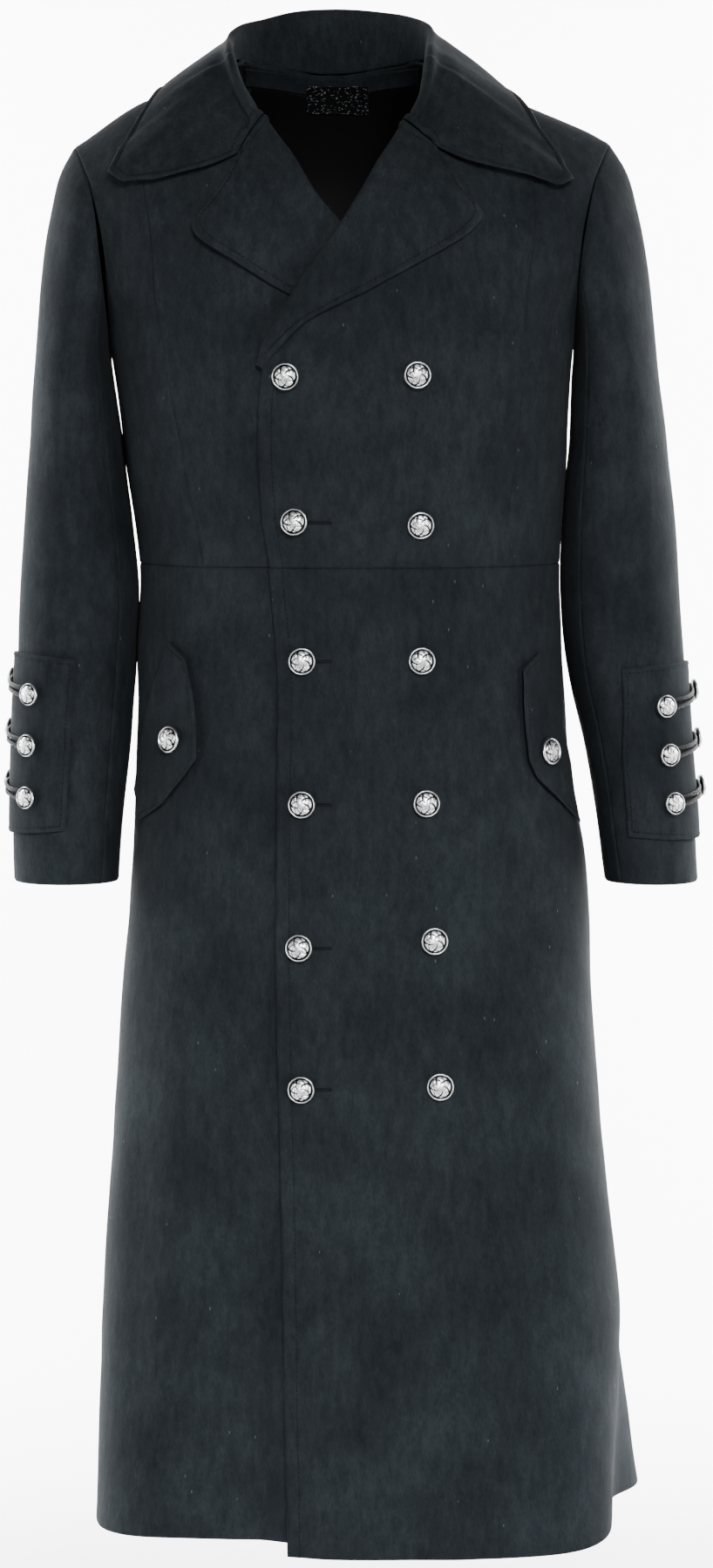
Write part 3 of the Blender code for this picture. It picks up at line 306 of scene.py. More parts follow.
body = {
    "waistZ": -427.0, "chestZ": -250.0, "hemZ": -1259.0,
    "frontRoundness": 1.9, "backRoundness": 3.2,
    "neckLeft": 76.0, "neckRight": -93.0, "neckDepth": 80.0, "shoulderTip": 232.0,
    # how far the left front stands off the right one, more under its lapel; each fades over two
    # heights, and both fade over two places across
    "overlapLift": 3.9, "overlapTop": (-120, -55),
    "lapelLift": 3.8, "lapelFoot": (-280, -258), "lapelTop": (-138, -70), "overlapFade": (92, 126),
    # level sections: sides, depth to the front and the back, and squareness
    "sectionFields": ("z", "right", "left", "front", "back", "squareness"),
    "sections": (
        (60, -275, 275, 116, 100, 2.4), (-66, -270, 270, 130, 114, 2.4), (-84, -264, 264, 132, 117, 2.4),
        (-121, -241, 241, 134, 121, 2.4), (-148, -229, 229, 135, 124, 2.4), (-170, -220, 221, 136, 125, 2.4),
        (-193, -211, 211, 137, 125, 2.4), (-210, -204.5, 204.5, 137, 125, 2.4), (-235, -201, 201, 138, 124, 2.4),
        (-262, -196.5, 198, 138, 122, 2.4), (-303, -190.5, 196, 138, 118, 2.4), (-343, -187, 194, 136, 113, 2.4),
        (-397, -178.5, 190, 131, 107, 2.4), (-427, -174.5, 188.5, 129, 105, 2.4),
        (-495, -176.5, 191.5, 134, 114, 2.45), (-552, -176, 195.5, 139, 122, 2.5),
        (-609, -178.5, 200.5, 144, 129, 2.6), (-666, -182, 210, 149, 136, 2.7), (-781, -189, 216.5, 158, 148, 2.8),
        (-935, -198.5, 228, 167, 159, 2.9), (-1098, -209, 246, 174, 170, 3.0), (-1270, -212, 259, 178, 180, 3.0),
    ),
    # top line of the shoulders, x and z
    "ridge": ((-260, -84), (-240, -76), (-232, -67.5), (-222, -61), (-212, -54), (-201, -46.5), (-189, -39),
              (-174, -31), (-155, -25), (-130, -15), (-93, 3), (-88.5, 7.6), (-78.5, 11.8), (-67, 17.7),
              (-48.5, 28.6), (-30, 37), (-8.5, 41.4), (13, 37), (31.5, 28.6), (50, 17.7), (61.5, 11.8),
              (71.5, 7.6), (76, 3), (110, -12), (142, -24), (159, -31.5), (176, -39), (194, -46.5), (213, -54),
              (232, -64), (240, -72), (260, -84)),
    # half width of the armhole at each height
    "armhole": ((-235, 201), (-220, 201.6), (-200, 202.3), (-175, 203.7), (-150, 206.5), (-131, 209.5),
                (-114, 213.5), (-94, 219), (-84, 223), (-74, 228), (-66, 232)),
    "armholeRows": (-235, -208, -180, -150, -122, -98, -80, -70, -66),
    # front edges, z and x: up the closing edge, then the lapel's fold line
    "edge": {
        left: ((-1270, -45), (-1050, -49), (-900, -52), (-724, -55), (-600, -54), (-509, -54), (-462, -58),
               (-427, -61.5), (-399, -66), (-350, -70), (-315, -71), (-278, -69.5), (-247, -63), (-229, -56),
               (-200, -40), (-170, -22), (-145, -3), (-115, 16.6), (-84, 34.4), (-56, 51.5), (-41, 58.3),
               (-29, 65), (-12, 69.5), (3, 76)),
        right: ((-1270, 78), (-900, 76), (-600, 72), (-427, 68), (-399, 71), (-350, 74), (-315, 75), (-280, 72),
                (-247, 64), (-228, 52), (-195, 34), (-160, 14), (-133, -5), (-113, -23), (-81, -43), (-53, -63),
                (-34, -73), (-19, -82), (-6, -87), (3, -93)),
    },
    # seams between each front and its side panel, z and x
    "princess": {
        left: ((-427, 139), (-350, 146), (-293, 152), (-201, 158), (-165, 163), (-129, 166), (-105, 165),
               (-24, 152)),
        right: ((-427, -118), (-416, -120), (-360, -131), (-300, -142), (-250, -151), (-210, -158), (-165, -161),
                (-129, -165), (-100, -169), (-24, -154)),
    },
    # skirt folds: direction, half width, height at the hem, where they begin
    "folds": ((124, 13, -13, -760), (150, 17, 7, -700), (80, 26, 9, -560), (42, 20, 8, -760),
              (8, 18, -27, -1060), (-32, 11, 23, -940), (-42, 18, 13, -700), (-66, 13, -13, -600),
              (-90, 14, 12, -560), (-114, 13, -13, -600), (-138, 18, 12, -700), (-163, 14, -10, -900)),
    "foldGrowth": 1.4,
}


def sectionValue(name, z):
    fields, table = body["sectionFields"], body["sections"]
    return curveThrough(columnOf(table, fields, "z"), columnOf(table, fields, name), z)


def bodySection(z):  # middle, half width and squareness of the level section
    toRight, toLeft = sectionValue("right", z), sectionValue("left", z)
    return (toLeft + toRight) / 2, (toLeft - toRight) / 2, sectionValue("squareness", z)


def bodyDepth(z, front):
    return np.where(front, sectionValue("front", z), sectionValue("back", z))


def bodyRise(x, z):  # share of the way from the chest to the shoulder line above x
    return np.maximum((z - body["chestZ"]) / (pairsLine(body["ridge"], x) - body["chestZ"]), 0.0)


def roundness(front):  # power of the curve that turns over the shoulders
    return np.where(front, body["frontRoundness"], body["backRoundness"])


def bodyClosing(x, z, front):  # how much of its depth a section keeps as it nears the shoulder line
    power = roundness(front)
    return (1.0 - np.minimum(bodyRise(x, z), 1.0) ** power) ** (1.0 / power)


# A squared ellipse: |x / half| to a power plus |y / depth| to the same power is 1
def bodyPoint(angle, z, front):
    centre, half, power = bodySection(z)
    sideways = np.abs(np.cos(angle) / half) ** power
    reach = (sideways + np.abs(np.sin(angle) / bodyDepth(z, front)) ** power) ** (-1.0 / power)
    x = centre + reach * np.cos(angle)
    return np.stack([x, -reach * np.sin(angle) * bodyClosing(x, z, front), z + 0.0 * x], axis=-1)


def bodyAngle(x, z, front):  # the angle at which the same squared ellipse reaches x
    centre, half, power = bodySection(z)
    across = np.clip(np.abs(x - centre) / half, 0.0, 1.0)
    away = bodyDepth(z, front) * (1.0 - across ** power) ** (1.0 / power)
    return np.arctan2(np.where(front, away, -away), x - centre)


def bodyAt(x, z, front=True):  # the surface's point at x and z
    x, z = np.asarray(x, float), np.asarray(z, float)
    front = np.full(np.broadcast(x, z).shape, front)
    return bodyPoint(bodyAngle(x, z, front), z, front)


# Two level functions of the body's surface, 1 on it and more outside. The first is exact down the
# sides, the second over the shoulders.
def sideLevel(points, front):
    x, y, z = np.moveaxis(points, -1, 0)
    centre, half, power = bodySection(z)
    depth = bodyDepth(z, front) * np.maximum(bodyClosing(x, z, front), 0.05)
    return np.abs((x - centre) / half) ** power + np.abs(y / depth) ** power


def topLevel(points, front):
    x, y, z = np.moveaxis(points, -1, 0)
    centre, half, power = bodySection(z)
    across = np.minimum(np.abs((x - centre) / half), 1.0)
    depth = bodyDepth(z, front) * np.maximum((1.0 - across ** power) ** (1.0 / power), 0.05)
    return np.abs(y / depth) ** roundness(front) + bodyRise(x, z) ** roundness(front)


def levelSlope(level, points, front):  # differences over a short step along x, y and z
    step = 0.05
    moves = step * np.eye(3)
    return np.stack([(level(points + m, front) - level(points - m, front)) / (2 * step) for m in moves], axis=-1)


# Mean of the slopes of both level functions, each weighed where it is exact
def bodyNormal(points, front):
    x, _, z = np.moveaxis(points, -1, 0)
    centre, half, power = bodySection(z)
    across = np.minimum(np.abs((x - centre) / half), 1.0)
    sideWeight = bodyClosing(x, z, front) ** 2
    topWeight = ((1.0 - across ** power) ** (1.0 / power)) ** 2
    side = unit(levelSlope(sideLevel, points, front))
    top = unit(levelSlope(topLevel, points, front))
    return unit(side * sideWeight[..., None] + top * topWeight[..., None])


def standOff(points, distance):  # moves points out until they are this far off the body
    points = np.array(points, float)
    for _ in range(8):
        front = points[..., 1] < 0
        slope = levelSlope(topLevel, points, front)
        steepness = np.maximum(np.linalg.norm(slope, axis=-1), 1e-6)
        short = np.clip(distance - (topLevel(points, front) - 1.0) / steepness, 0.0, 6.0)
        points = points + unit(slope) * short[..., None]
    return points


def overlapLift(x, z):  # how far the left front stands off the right one under it
    base = body["overlapLift"] * (1.0 - smoothStep(*body["overlapTop"], z))
    lapel = body["lapelLift"] * smoothStep(*body["lapelFoot"], z) * (1.0 - smoothStep(*body["lapelTop"], z))
    return (base + lapel) * (1.0 - smoothStep(*body["overlapFade"], x))


# The skirt: the body's section with its folds, each a bump that grows as it falls
def skirtPoint(angle, z):
    front = np.sin(angle) >= 0
    points = bodyPoint(angle, z, front)
    outward = bodyNormal(points, front) * np.array([1.0, 1.0, 0.0])
    fold = np.zeros_like(points[..., 0])
    for direction, halfWidth, height, start in body["folds"]:
        turn = (np.degrees(angle) - direction + 180.0) % 360.0 - 180.0
        across = np.clip(1.0 - (turn / (2.0 * halfWidth)) ** 2, 0.0, 1.0) ** 2
        fallen = np.clip((start - z) / (start - body["hemZ"]), 0.0, None)
        fold = fold + height * across * fallen ** body["foldGrowth"]
    return points + unit(outward) * fold[..., None]


def skirtNormal(angle, z):  # cross product of short steps up and round the skirt
    across = skirtPoint(angle + 0.004, z) - skirtPoint(angle - 0.004, z)
    along = skirtPoint(angle, z + 4.0) - skirtPoint(angle, z - 4.0)
    return unit(np.cross(along, across))


def skirtAt(x, z, lift):  # the skirt's front at x and z, moved out by the lift
    x, z = np.asarray(x, float), np.asarray(z, float)
    angle = bodyAngle(x, z, np.full(x.shape, True))
    return skirtPoint(angle, z) + skirtNormal(angle, z) * np.asarray(lift)[..., None]


def edgeX(side, z):
    return pairsCurve(body["edge"][side], z)


def princessX(side, z):
    return pairsCurve(body["princess"][side], z)


# Cloth: a grid for the face, refined, given its edges and creases, and a second wall behind

clothLook = {
    "wall": 2.5, "spacing": 5.0, "closeSteps": (0.7, 1.5, 2.6, 4.2, 6.5, 9.0, 11.5),
    # how each kind of edge is finished: how far it rolls under and over what width, where its
    # stitches run, how deep they pull the cloth in, and the ridge that the turned layers make
    "seam": {"drop": 1.0, "roll": 1.1, "stitch": None, "pull": 0.0, "ridge": 0.0},
    "turned": {"drop": 1.1, "roll": 1.4, "stitch": 8.0, "pull": 0.9, "ridge": 1.0},
    "frontEdge": {"drop": 1.0, "roll": 1.2, "stitch": 12.0, "pull": 0.6, "ridge": 0.6},
    "hem": {"drop": 1.0, "roll": 1.2, "stitch": None, "pull": 0.0, "ridge": 0.0},
    "narrow": {"drop": 0.9, "roll": 1.0, "stitch": 5.0, "pull": 0.4, "ridge": 0.35},
    "plain": {"drop": 0.0, "roll": 1.0, "stitch": None, "pull": 0.0, "ridge": 0.0},
    "stitchWidth": 1.5, "ridgeFade": 2.6, "mostSink": 0.4,  # the last as a share of the wall
    # creases: overall depth, how fast they end, how fast they fade on cloth that turns sideways
    "creaseDepth": 1.4, "creaseEnds": 0.8, "creaseFacing": 1.6,
    # soft unevenness of hanging wool: wave length and height of its three waves
    "waves": ((170, 0.9), (96, 0.5), (53, 0.22)), "innerWaves": 0.35,  # the last for the thin inner pieces
}


def stationsOver(length, start, spacing):  # even stations, with closer ones near both ends
    even = np.linspace(0.0, length, max(int(round(length / spacing)), 3) + 1)
    close = np.array(clothLook["closeSteps"])
    close = close[close < length / 2 - 1.0]
    reach = close[-1] if len(close) else 0.0
    inner = even[(even > reach + 1.5) & (even < length - reach - 1.5)]
    return start + np.concatenate([[0.0], close, inner, (length - close)[::-1], [length]])


# Refines a net with a cubic along its rows, then one along its columns. The margin is the
# number of columns at each end that only give the curve its slope.
def refine(net, spacing, margin=0):
    gaps = [np.linalg.norm(np.diff(net, axis=axis), axis=2).mean(axis=1 - axis) for axis in (0, 1)]
    rowAt, columnAt = (np.concatenate([[0.0], np.cumsum(gap)]) for gap in gaps)
    first, last = columnAt[margin], columnAt[len(columnAt) - 1 - margin]
    fine = curveThrough(rowAt, net, stationsOver(rowAt[-1], 0.0, spacing))
    fine = curveThrough(columnAt, np.swapaxes(fine, 0, 1), stationsOver(last - first, first, spacing))
    return np.swapaxes(fine, 0, 1)


def edgeDistances(face):  # how far each point is from each edge, measured along the cloth
    across = np.linalg.norm(np.diff(face, axis=1), axis=2)
    along = np.linalg.norm(np.diff(face, axis=0), axis=2)
    fromFirst = np.concatenate([np.zeros((len(face), 1)), np.cumsum(across, axis=1)], axis=1)
    fromBottom = np.concatenate([np.zeros((1, face.shape[1])), np.cumsum(along, axis=0)], axis=0)
    return {"first": fromFirst, "last": fromFirst[:, -1:] - fromFirst,
            "bottom": fromBottom, "top": fromBottom[-1:] - fromBottom}


def softWaves(points):  # three crossing sine waves in space, the same for every piece that meets there
    x, y, z = np.moveaxis(points, -1, 0)
    total = 0.0
    for index, (length, height) in enumerate(clothLook["waves"]):
        k = 2 * math.pi / length
        turn = 0.7 + 1.9 * index
        total = total + height * np.sin(k * (x * math.cos(turn) + z * 0.55 * math.sin(turn)) + 1.3 * index
                                        + 1.1 * np.sin(k * 0.6 * (y + 0.4 * z)))
    return total


# Creases in front or back view: from one point to another, with a bow, each a soft trough or
# ridge whose height falls off as a bell across it and fades out towards its ends
def creaseHeight(face, normals, creases):
    total = np.zeros(face.shape[:2])
    for view, x0, z0, x1, z1, height, width, bow in creases:
        run = math.hypot(x1 - x0, z1 - z0)
        ax, az = (x1 - x0) / run, (z1 - z0) / run
        t = ((face[..., 0] - x0) * ax + (face[..., 2] - z0) * az) / run
        off = (face[..., 0] - x0) * -az + (face[..., 2] - z0) * ax - bow * np.sin(math.pi * np.clip(t, 0, 1))
        fade = np.sin(math.pi * np.clip(t, 0.0, 1.0)) ** clothLook["creaseEnds"]
        towards = -1 if view == "front" else 1
        seen = np.clip(clothLook["creaseFacing"] * towards * normals[..., 1], 0.0, 1.0)
        total = total + clothLook["creaseDepth"] * height * np.exp(-(off / width) ** 2) * fade * seen
    return total


# A closed shell: the face, its back turned round, and a wall round their rim. Its UV map is in metres.
def shellMesh(name, face, back, facing):
    rows, columns = face.shape[:2]
    count = rows * columns
    index = np.arange(count).reshape(rows, columns)
    quads = gridFaces(index)
    rim = np.concatenate([index[0, :-1], index[:-1, -1], index[-1, :0:-1], index[:0:-1, 0]])
    after = np.roll(rim, -1)
    rimFaces = np.stack([after, rim, rim + count, after + count], axis=-1)
    faces = np.concatenate([quads, quads[:, ::-1] + count, rimFaces])
    if facing < 0:
        faces = faces[:, ::-1]
    mesh = smoothMesh(name, np.concatenate([face.reshape(-1, 3), back.reshape(-1, 3)]), faces.tolist())
    distances = edgeDistances(face)
    uv = np.stack([distances["first"], distances["bottom"]], axis=-1).reshape(-1, 2) * mm
    uv = np.concatenate([uv, uv])
    layer = mesh.uv_layers.new(name="cloth")
    layer.data.foreach_set("uv", uv[faces.reshape(-1)].reshape(-1))
    return mesh


def addPiece(name, mesh, material, nodes):  # every piece rides the part's one body
    mesh.materials.append(material)
    piece = bpy.data.objects.new(name, mesh)
    bpy.context.scene.collection.objects.link(piece)
    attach(piece, rootBody)
    if nodes:
        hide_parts(*nodes)
    return piece


# Makes a cloth piece from its net. The face sinks at its sewn or turned edges and along their
# stitches, and the layers turned under it raise it between the two. The back lies one wall behind
# the face. What is returned keeps the face and its normals for what is sewn on it.
def clothPiece(name, net, facing, edges, nodes, creases=(), margin=0, material=None,
               wall=None, spacing=None):
    face = refine(net, spacing or clothLook["spacing"], margin)
    normals = gridNormals(face) * facing
    distances = edgeDistances(face)
    height = softWaves(face) * (clothLook["innerWaves"] if wall else 1.0) + creaseHeight(face, normals, creases)
    sink, raised = np.zeros(face.shape[:2]), np.zeros(face.shape[:2])
    for edge, kind in edges.items():
        style, away = clothLook[kind], distances[edge]
        sink = np.maximum(sink, style["drop"] * np.exp(-(away / style["roll"]) ** 2))
        if style["stitch"]:
            height = height - style["pull"] * np.exp(-((away - style["stitch"]) / clothLook["stitchWidth"]) ** 2)
            within = 1.0 - smoothStep(style["stitch"] - clothLook["ridgeFade"], style["stitch"], away)
            raised = np.maximum(raised, style["ridge"] * within)
    thick, height = wall or clothLook["wall"], height + raised
    sink = np.minimum(sink, thick * clothLook["mostSink"])
    back = face + normals * (height - thick + sink)[..., None]
    face = face + normals * (height - sink)[..., None]
    piece = addPiece(name, shellMesh(name, face, back, facing), material or woolMaterial, nodes)
    return {"piece": piece, "face": face, "normals": gridNormals(face) * facing, "distances": edgeDistances(face)}


def allEdges(kind):
    return dict.fromkeys(("first", "last", "bottom", "top"), kind)


# Bodice

bodice = {
    "columns": {"front": 16, "side": 10, "back": 22},
    "edges": {"front": {**allEdges("seam"), "first": "frontEdge"},
              "side": allEdges("seam"), "back": allEdges("seam")},
    "seamGap": 0.02, "foldGap": 1.2,
    # view, from x and z, to x and z, height, width, bow
    "creases": (
        ("front", 160, -95, 76, -240, -4.2, 26, 6), ("front", -150, -95, -68, -228, -3.8, 24, -6),
        ("front", 168, -165, 62, -246, -2.4, 17, 8), ("front", 197, -196, 118, -275, -1.6, 12, 6),
        ("front", 190, -300, 110, -330, -1.1, 10, 5), ("front", 60, -355, 186, -378, -1.0, 9, -5),
        ("front", 186, -405, 90, -392, -1.2, 9, 4), ("front", -180, -190, -100, -262, -1.9, 14, -7),
        ("front", -178, -300, -110, -340, -1.2, 11, -6), ("front", -170, -395, -92, -384, -1.2, 9, -4),
        ("front", -35, -276, 60, -270, -0.8, 9, 8), ("front", -30, -398, 62, -394, -0.9, 10, 7),
        ("front", 22, -300, 8, -395, 1.0, 26, 0), ("front", 128, -215, 104, -375, 1.2, 22, 6),
        ("back", 168, -150, 60, -250, -2.2, 18, 10), ("back", -160, -158, -66, -236, -2.0, 16, -9),
        ("back", 150, -345, 20, -380, -1.7, 12, 8), ("back", -146, -352, -10, -372, -1.5, 11, -8),
        ("back", 132, -405, 40, -398, -1.3, 9, 5), ("back", -110, -300, -122, -415, -1.2, 14, 5),
    ),
}


def neckMiddle():  # middle and half width of the neck's opening
    return (body["neckLeft"] + body["neckRight"]) / 2, (body["neckLeft"] - body["neckRight"]) / 2


# How much of the back's rise is left at x once the neck's half ellipse is cut from it
def neckShare(x):
    middle, half = neckMiddle()
    inside = body["neckDepth"] * np.sqrt(1.0 - np.clip(np.abs(x - middle) / half, 0.0, 1.0) ** 2)
    centre, width, power = bodySection(0.0)
    depth = bodyDepth(0.0, False) * (1.0 - np.abs((x - centre) / width) ** power) ** (1.0 / power)
    return (1.0 - (inside / depth) ** body["backRoundness"]) ** (1.0 / body["backRoundness"])


def panelTop(x, front):
    top = pairsLine(body["ridge"], x)
    return top if front else body["chestZ"] + neckShare(x) * (top - body["chestZ"])


# Rows of a bodice panel at its side: even to the underarm and up the armhole, then closer
# towards the shoulder line, where the surface turns over
def bodiceRows():
    shoulder = body["armhole"][-1][0] - 32.0 * (1.0 - np.linspace(0.1, 1.0, 10)) ** 2
    return np.concatenate([np.linspace(body["waistZ"], -235, 17), np.linspace(-235, -98, 14)[1:], shoulder])


# A panel between two lines that give x at each height. Its columns are evenly spaced in angle low
# down and evenly spaced in x near the shoulder line.
def bodicePanel(firstLine, lastLine, topFirst, topLast, columns, front, rows):
    rows = np.asarray(rows, float)
    shares = ((rows - body["waistZ"]) / (rows[-1] - body["waistZ"]))[:, None]
    spread = np.linspace(0.0, 1.0, columns)[None, :]
    topX = topFirst + (topLast - topFirst) * spread
    z = body["waistZ"] + (panelTop(topX, front) - body["waistZ"]) * shares
    facing = np.full(z.shape, front)
    begin = bodyAngle(firstLine(z[:, :1]), z[:, :1], facing[:, :1])
    end = bodyAngle(lastLine(z[:, -1:]), z[:, -1:], facing[:, -1:])
    angle = begin + (end - begin) * spread
    x = firstLine(z[:, :1]) + (lastLine(z[:, -1:]) - firstLine(z[:, :1])) * spread
    x[-1:] = topX
    angle = angle + (bodyAngle(x, z, facing) - angle) * smoothStep(0.5, 0.85, shares)
    return bodyPoint(angle, z, facing)


def sideX(side):  # down the body's side, then round the armhole
    def line(z):
        centre, half, _ = bodySection(z)
        below = z <= body["armhole"][0][0] + 0.01
        return np.where(below, centre + side * half, side * pairsCurve(body["armhole"], z))
    return line


def seamDown(side):
    return lambda z: princessX(side, z)


def centreBack(z):
    return bodySection(z)[0]


def panelNets(side, rows):  # front, side and back panel of one half
    tip = side * body["shoulderTip"]
    seamTop = body["princess"][side][-1][1]
    neck = body["neckLeft"] if side == left else body["neckRight"]
    count = bodice["columns"]
    front = bodicePanel(lambda z: edgeX(side, z), seamDown(side), neck, seamTop, count["front"], True, rows)
    if side == left:
        lift = overlapLift(front[..., 0], front[..., 2])
        front = front + bodyNormal(front, np.full(lift.shape, True)) * lift[..., None]
    beside = bodicePanel(seamDown(side), sideX(side), seamTop, tip, count["side"], True, rows)
    behind = bodicePanel(centreBack, sideX(side), 0.0, tip, count["back"], False, rows)
    return front, beside, behind


def trimEdge(net, edge, gap):  # moves one edge of a net back towards its neighbour row or column
    take, near = {"first": ((slice(None), 0), (slice(None), 1)), "last": ((slice(None), -1), (slice(None), -2)),
                  "bottom": (0, 1), "top": (-1, -2)}[edge]
    net[take] += unit(net[near] - net[take]) * gap
    return net


def trimEdges(net, gap, *edges):
    for edge in edges:
        net = trimEdge(net, edge, gap)
    return net


clothPieces = {}
rows = bodiceRows()
for side in (left, right):
    name, gap = sideName[side], bodice["seamGap"]
    front, beside, behind = panelNets(side, rows)
    front = trimEdge(trimEdges(front, gap, "bottom", "top", "last"), "first", bodice["foldGap"])
    clothPieces[f"front_{name}"] = clothPiece(
        f"frontPanel_{name}", front, side, bodice["edges"]["front"], [f"front_{name}"],
        bodice["creases"])
    clothPieces[f"side_{name}"] = clothPiece(
        f"sideFrontPanel_{name}", trimEdges(beside, gap, "bottom", "top", "first", "last"), side,
        bodice["edges"]["side"], [f"side_front_{name}"], bodice["creases"])
    clothPieces[f"back_{name}"] = clothPiece(
        f"backPanel_{name}", trimEdges(behind, gap, "bottom", "top", "first", "last"), -side,
        bodice["edges"]["back"], [f"back_{name}"], bodice["creases"])
print("bodice made")


# Skirt

skirt = {
    # how far each front's hem hangs below the back's, and over which sines that fades out
    "rows": 70, "spacing": 6.0, "hemDrop": {"front_left": 7.0, "front_right": -4.0}, "dropFade": (0.3, 0.75),
    # name, from, to, columns, seams to trim, facing
    "panels": (
        ("front_left", ("edge", left), ("turn", 0), 34, ("bottom", "last"), -1),
        ("front_right", ("edge", right), ("turn", 180), 32, ("bottom", "last"), 1),
        ("back_left", ("turn", 0), ("turn", -90), 28, ("bottom", "first", "last"), -1),
        ("back_right", ("turn", -90), ("turn", -180), 28, ("bottom", "first", "last"), -1),
    ),
    "creases": (
        ("front", -84, -880, -76, -1262, -3.2, 20, 3), ("front", -118, -520, -128, -900, -1.6, 20, 5),
        ("front", 30, -455, 40, -690, -1.3, 22, 4), ("front", 112, -470, 128, -760, -1.6, 18, -5),
        ("front", 150, -790, 176, -1250, -2.6, 22, 6), ("front", 60, -900, 66, -1260, 1.8, 34, 0),
        ("front", -165, -780, -176, -1240, -2.2, 17, -4), ("front", -20, -700, -12, -1000, 0.9, 24, 0),
        ("back", 70, -450, 92, -900, -2.4, 20, 6), ("back", -62, -450, -84, -930, -2.2, 19, -6),
        ("back", 140, -700, 166, -1250, -2.6, 22, 5), ("back", -136, -760, -150, -1250, -2.4, 20, -5),
        ("back", 20, -600, 16, -1200, 1.6, 26, 0),
    ),
    # only on the right front, beside the edge that lies over it
    "underCreases": (
        ("front", -64, -470, -66, -1100, -1.5, 12, 0), ("front", -68, -900, -70, -1330, -4.0, 16, 0),
    ),
}


def skirtLine(spec, z):  # angles of a skirt panel's side: a front edge, or one direction all the way
    kind, value = spec
    if kind == "turn":
        return math.radians(value) + 0.0 * z
    return bodyAngle(edgeX(value, z), z, np.full(z.shape, True))


for name, begin, end, columns, seams, facing in skirt["panels"]:
    z = np.linspace(body["waistZ"], body["hemZ"], skirt["rows"])[:, None]
    first, last = skirtLine(begin, z), skirtLine(end, z)
    angle = first + (last - first) * np.linspace(0.0, 1.0, columns)[None, :]
    fallen = (z - body["waistZ"]) / (body["hemZ"] - body["waistZ"])
    drop = skirt["hemDrop"].get(name, 0.0) * fallen
    height = z - drop * smoothStep(*skirt["dropFade"], np.sin(angle))
    net = skirtPoint(angle, height)
    if name == "front_left":
        lift = overlapLift(net[..., 0], net[..., 2])
        net = net + skirtNormal(angle, height) * lift[..., None]
    net = trimEdges(net, bodice["seamGap"], *seams)
    edges = {**allEdges("seam"), "top": "hem", "first": "frontEdge" if begin[0] == "edge" else "seam"}
    neighbours, creases = [name], skirt["creases"]
    if name == "front_right":
        neighbours, creases = neighbours + ["skirt_front_left"], creases + skirt["underCreases"]
    clothPieces[f"skirt_{name}"] = clothPiece(
        f"skirtPanel_{name}", net, facing, edges, [f"skirt_{name}"], creases, spacing=skirt["spacing"])
print("skirt made")


# Sleeves

sleeve = {
    "fields": ("z", "outer", "inner", "middleY", "halfDepth"),
    left: ((-262, 275, 200.3, 2, 68), (-306, 281, 198.5, 2, 70), (-363, 287.5, 194.8, 1, 68),
           (-419, 292, 190.2, 0, 64), (-476, 295, 191.8, -2, 60), (-514, 298, 194.6, -4, 58),
           (-552, 300, 204.5, -6, 56), (-590, 302, 210.5, -8, 54), (-646, 307.5, 221, -11, 52),
           (-703, 310.5, 229.5, -14, 51)),
    right: ((-262, 266, 199, 2, 68), (-306, 269.5, 192.5, 2, 70), (-363, 273.5, 186.5, 1, 68),
            (-419, 277.5, 177.2, 0, 64), (-476, 280.7, 177.6, -2, 60), (-514, 282.3, 179.4, -4, 58),
            (-552, 284, 182.5, -6, 56), (-590, 285.3, 184.5, -8, 54), (-646, 285.4, 189.5, -11, 52),
            (-703, 284.7, 193.6, -14, 51)),
    "capSteps": (0.12, 0.3, 0.55, 0.8), "capFullness": {left: 12.0, right: 9.5},
    "capDepthShare": 0.6, "underarmFullness": 0.6, "frontSeam": 2, "backSeam": 13,
    "creases": (
        ("front", 285, -330, 214, -300, -1.6, 9, 4), ("front", 288, -420, 205, -470, -2.2, 10, -6),
        ("front", 292, -462, 208, -500, -1.7, 8, -4), ("front", 240, -280, 225, -440, 1.2, 14, 3),
        ("front", 300, -505, 226, -486, -1.3, 8, 4),
        ("front", -268, -330, -206, -304, -1.5, 9, -4), ("front", -276, -430, -196, -468, -2.1, 10, 5),
        ("front", -278, -476, -198, -500, -1.6, 8, 4), ("front", -232, -285, -222, -440, 1.1, 14, -3),
        ("back", 290, -400, 205, -440, -2.4, 10, -6), ("back", 292, -446, 208, -468, -2.0, 9, -4),
        ("back", 286, -350, 214, -330, -1.4, 9, 4), ("back", -276, -404, -198, -438, -2.3, 10, 6),
        ("back", -278, -450, -200, -474, -1.8, 9, 4), ("back", -268, -345, -206, -330, -1.4, 9, -4),
    ),
}


def sleevePoint(side, turn, z):  # an ellipse at each height: 0 is beside the body, 90 degrees the front
    places = columnOf(sleeve[side], sleeve["fields"], "z")
    outer, inner, middle, depth = (
        curveThrough(places, columnOf(sleeve[side], sleeve["fields"], f), z) for f in sleeve["fields"][1:])
    x = side * ((outer + inner) / 2 - (outer - inner) / 2 * np.cos(turn))
    return np.stack([x, middle - depth * np.sin(turn), z + 0.0 * x], axis=-1)


def sleeveNormal(side, turn, z):  # cross product of short steps round and up the sleeve
    across = sleevePoint(side, turn + 0.02, z) - sleevePoint(side, turn - 0.02, z)
    along = sleevePoint(side, turn, z + 2.0) - sleevePoint(side, turn, z - 2.0)
    return unit(np.cross(across, along)) * side


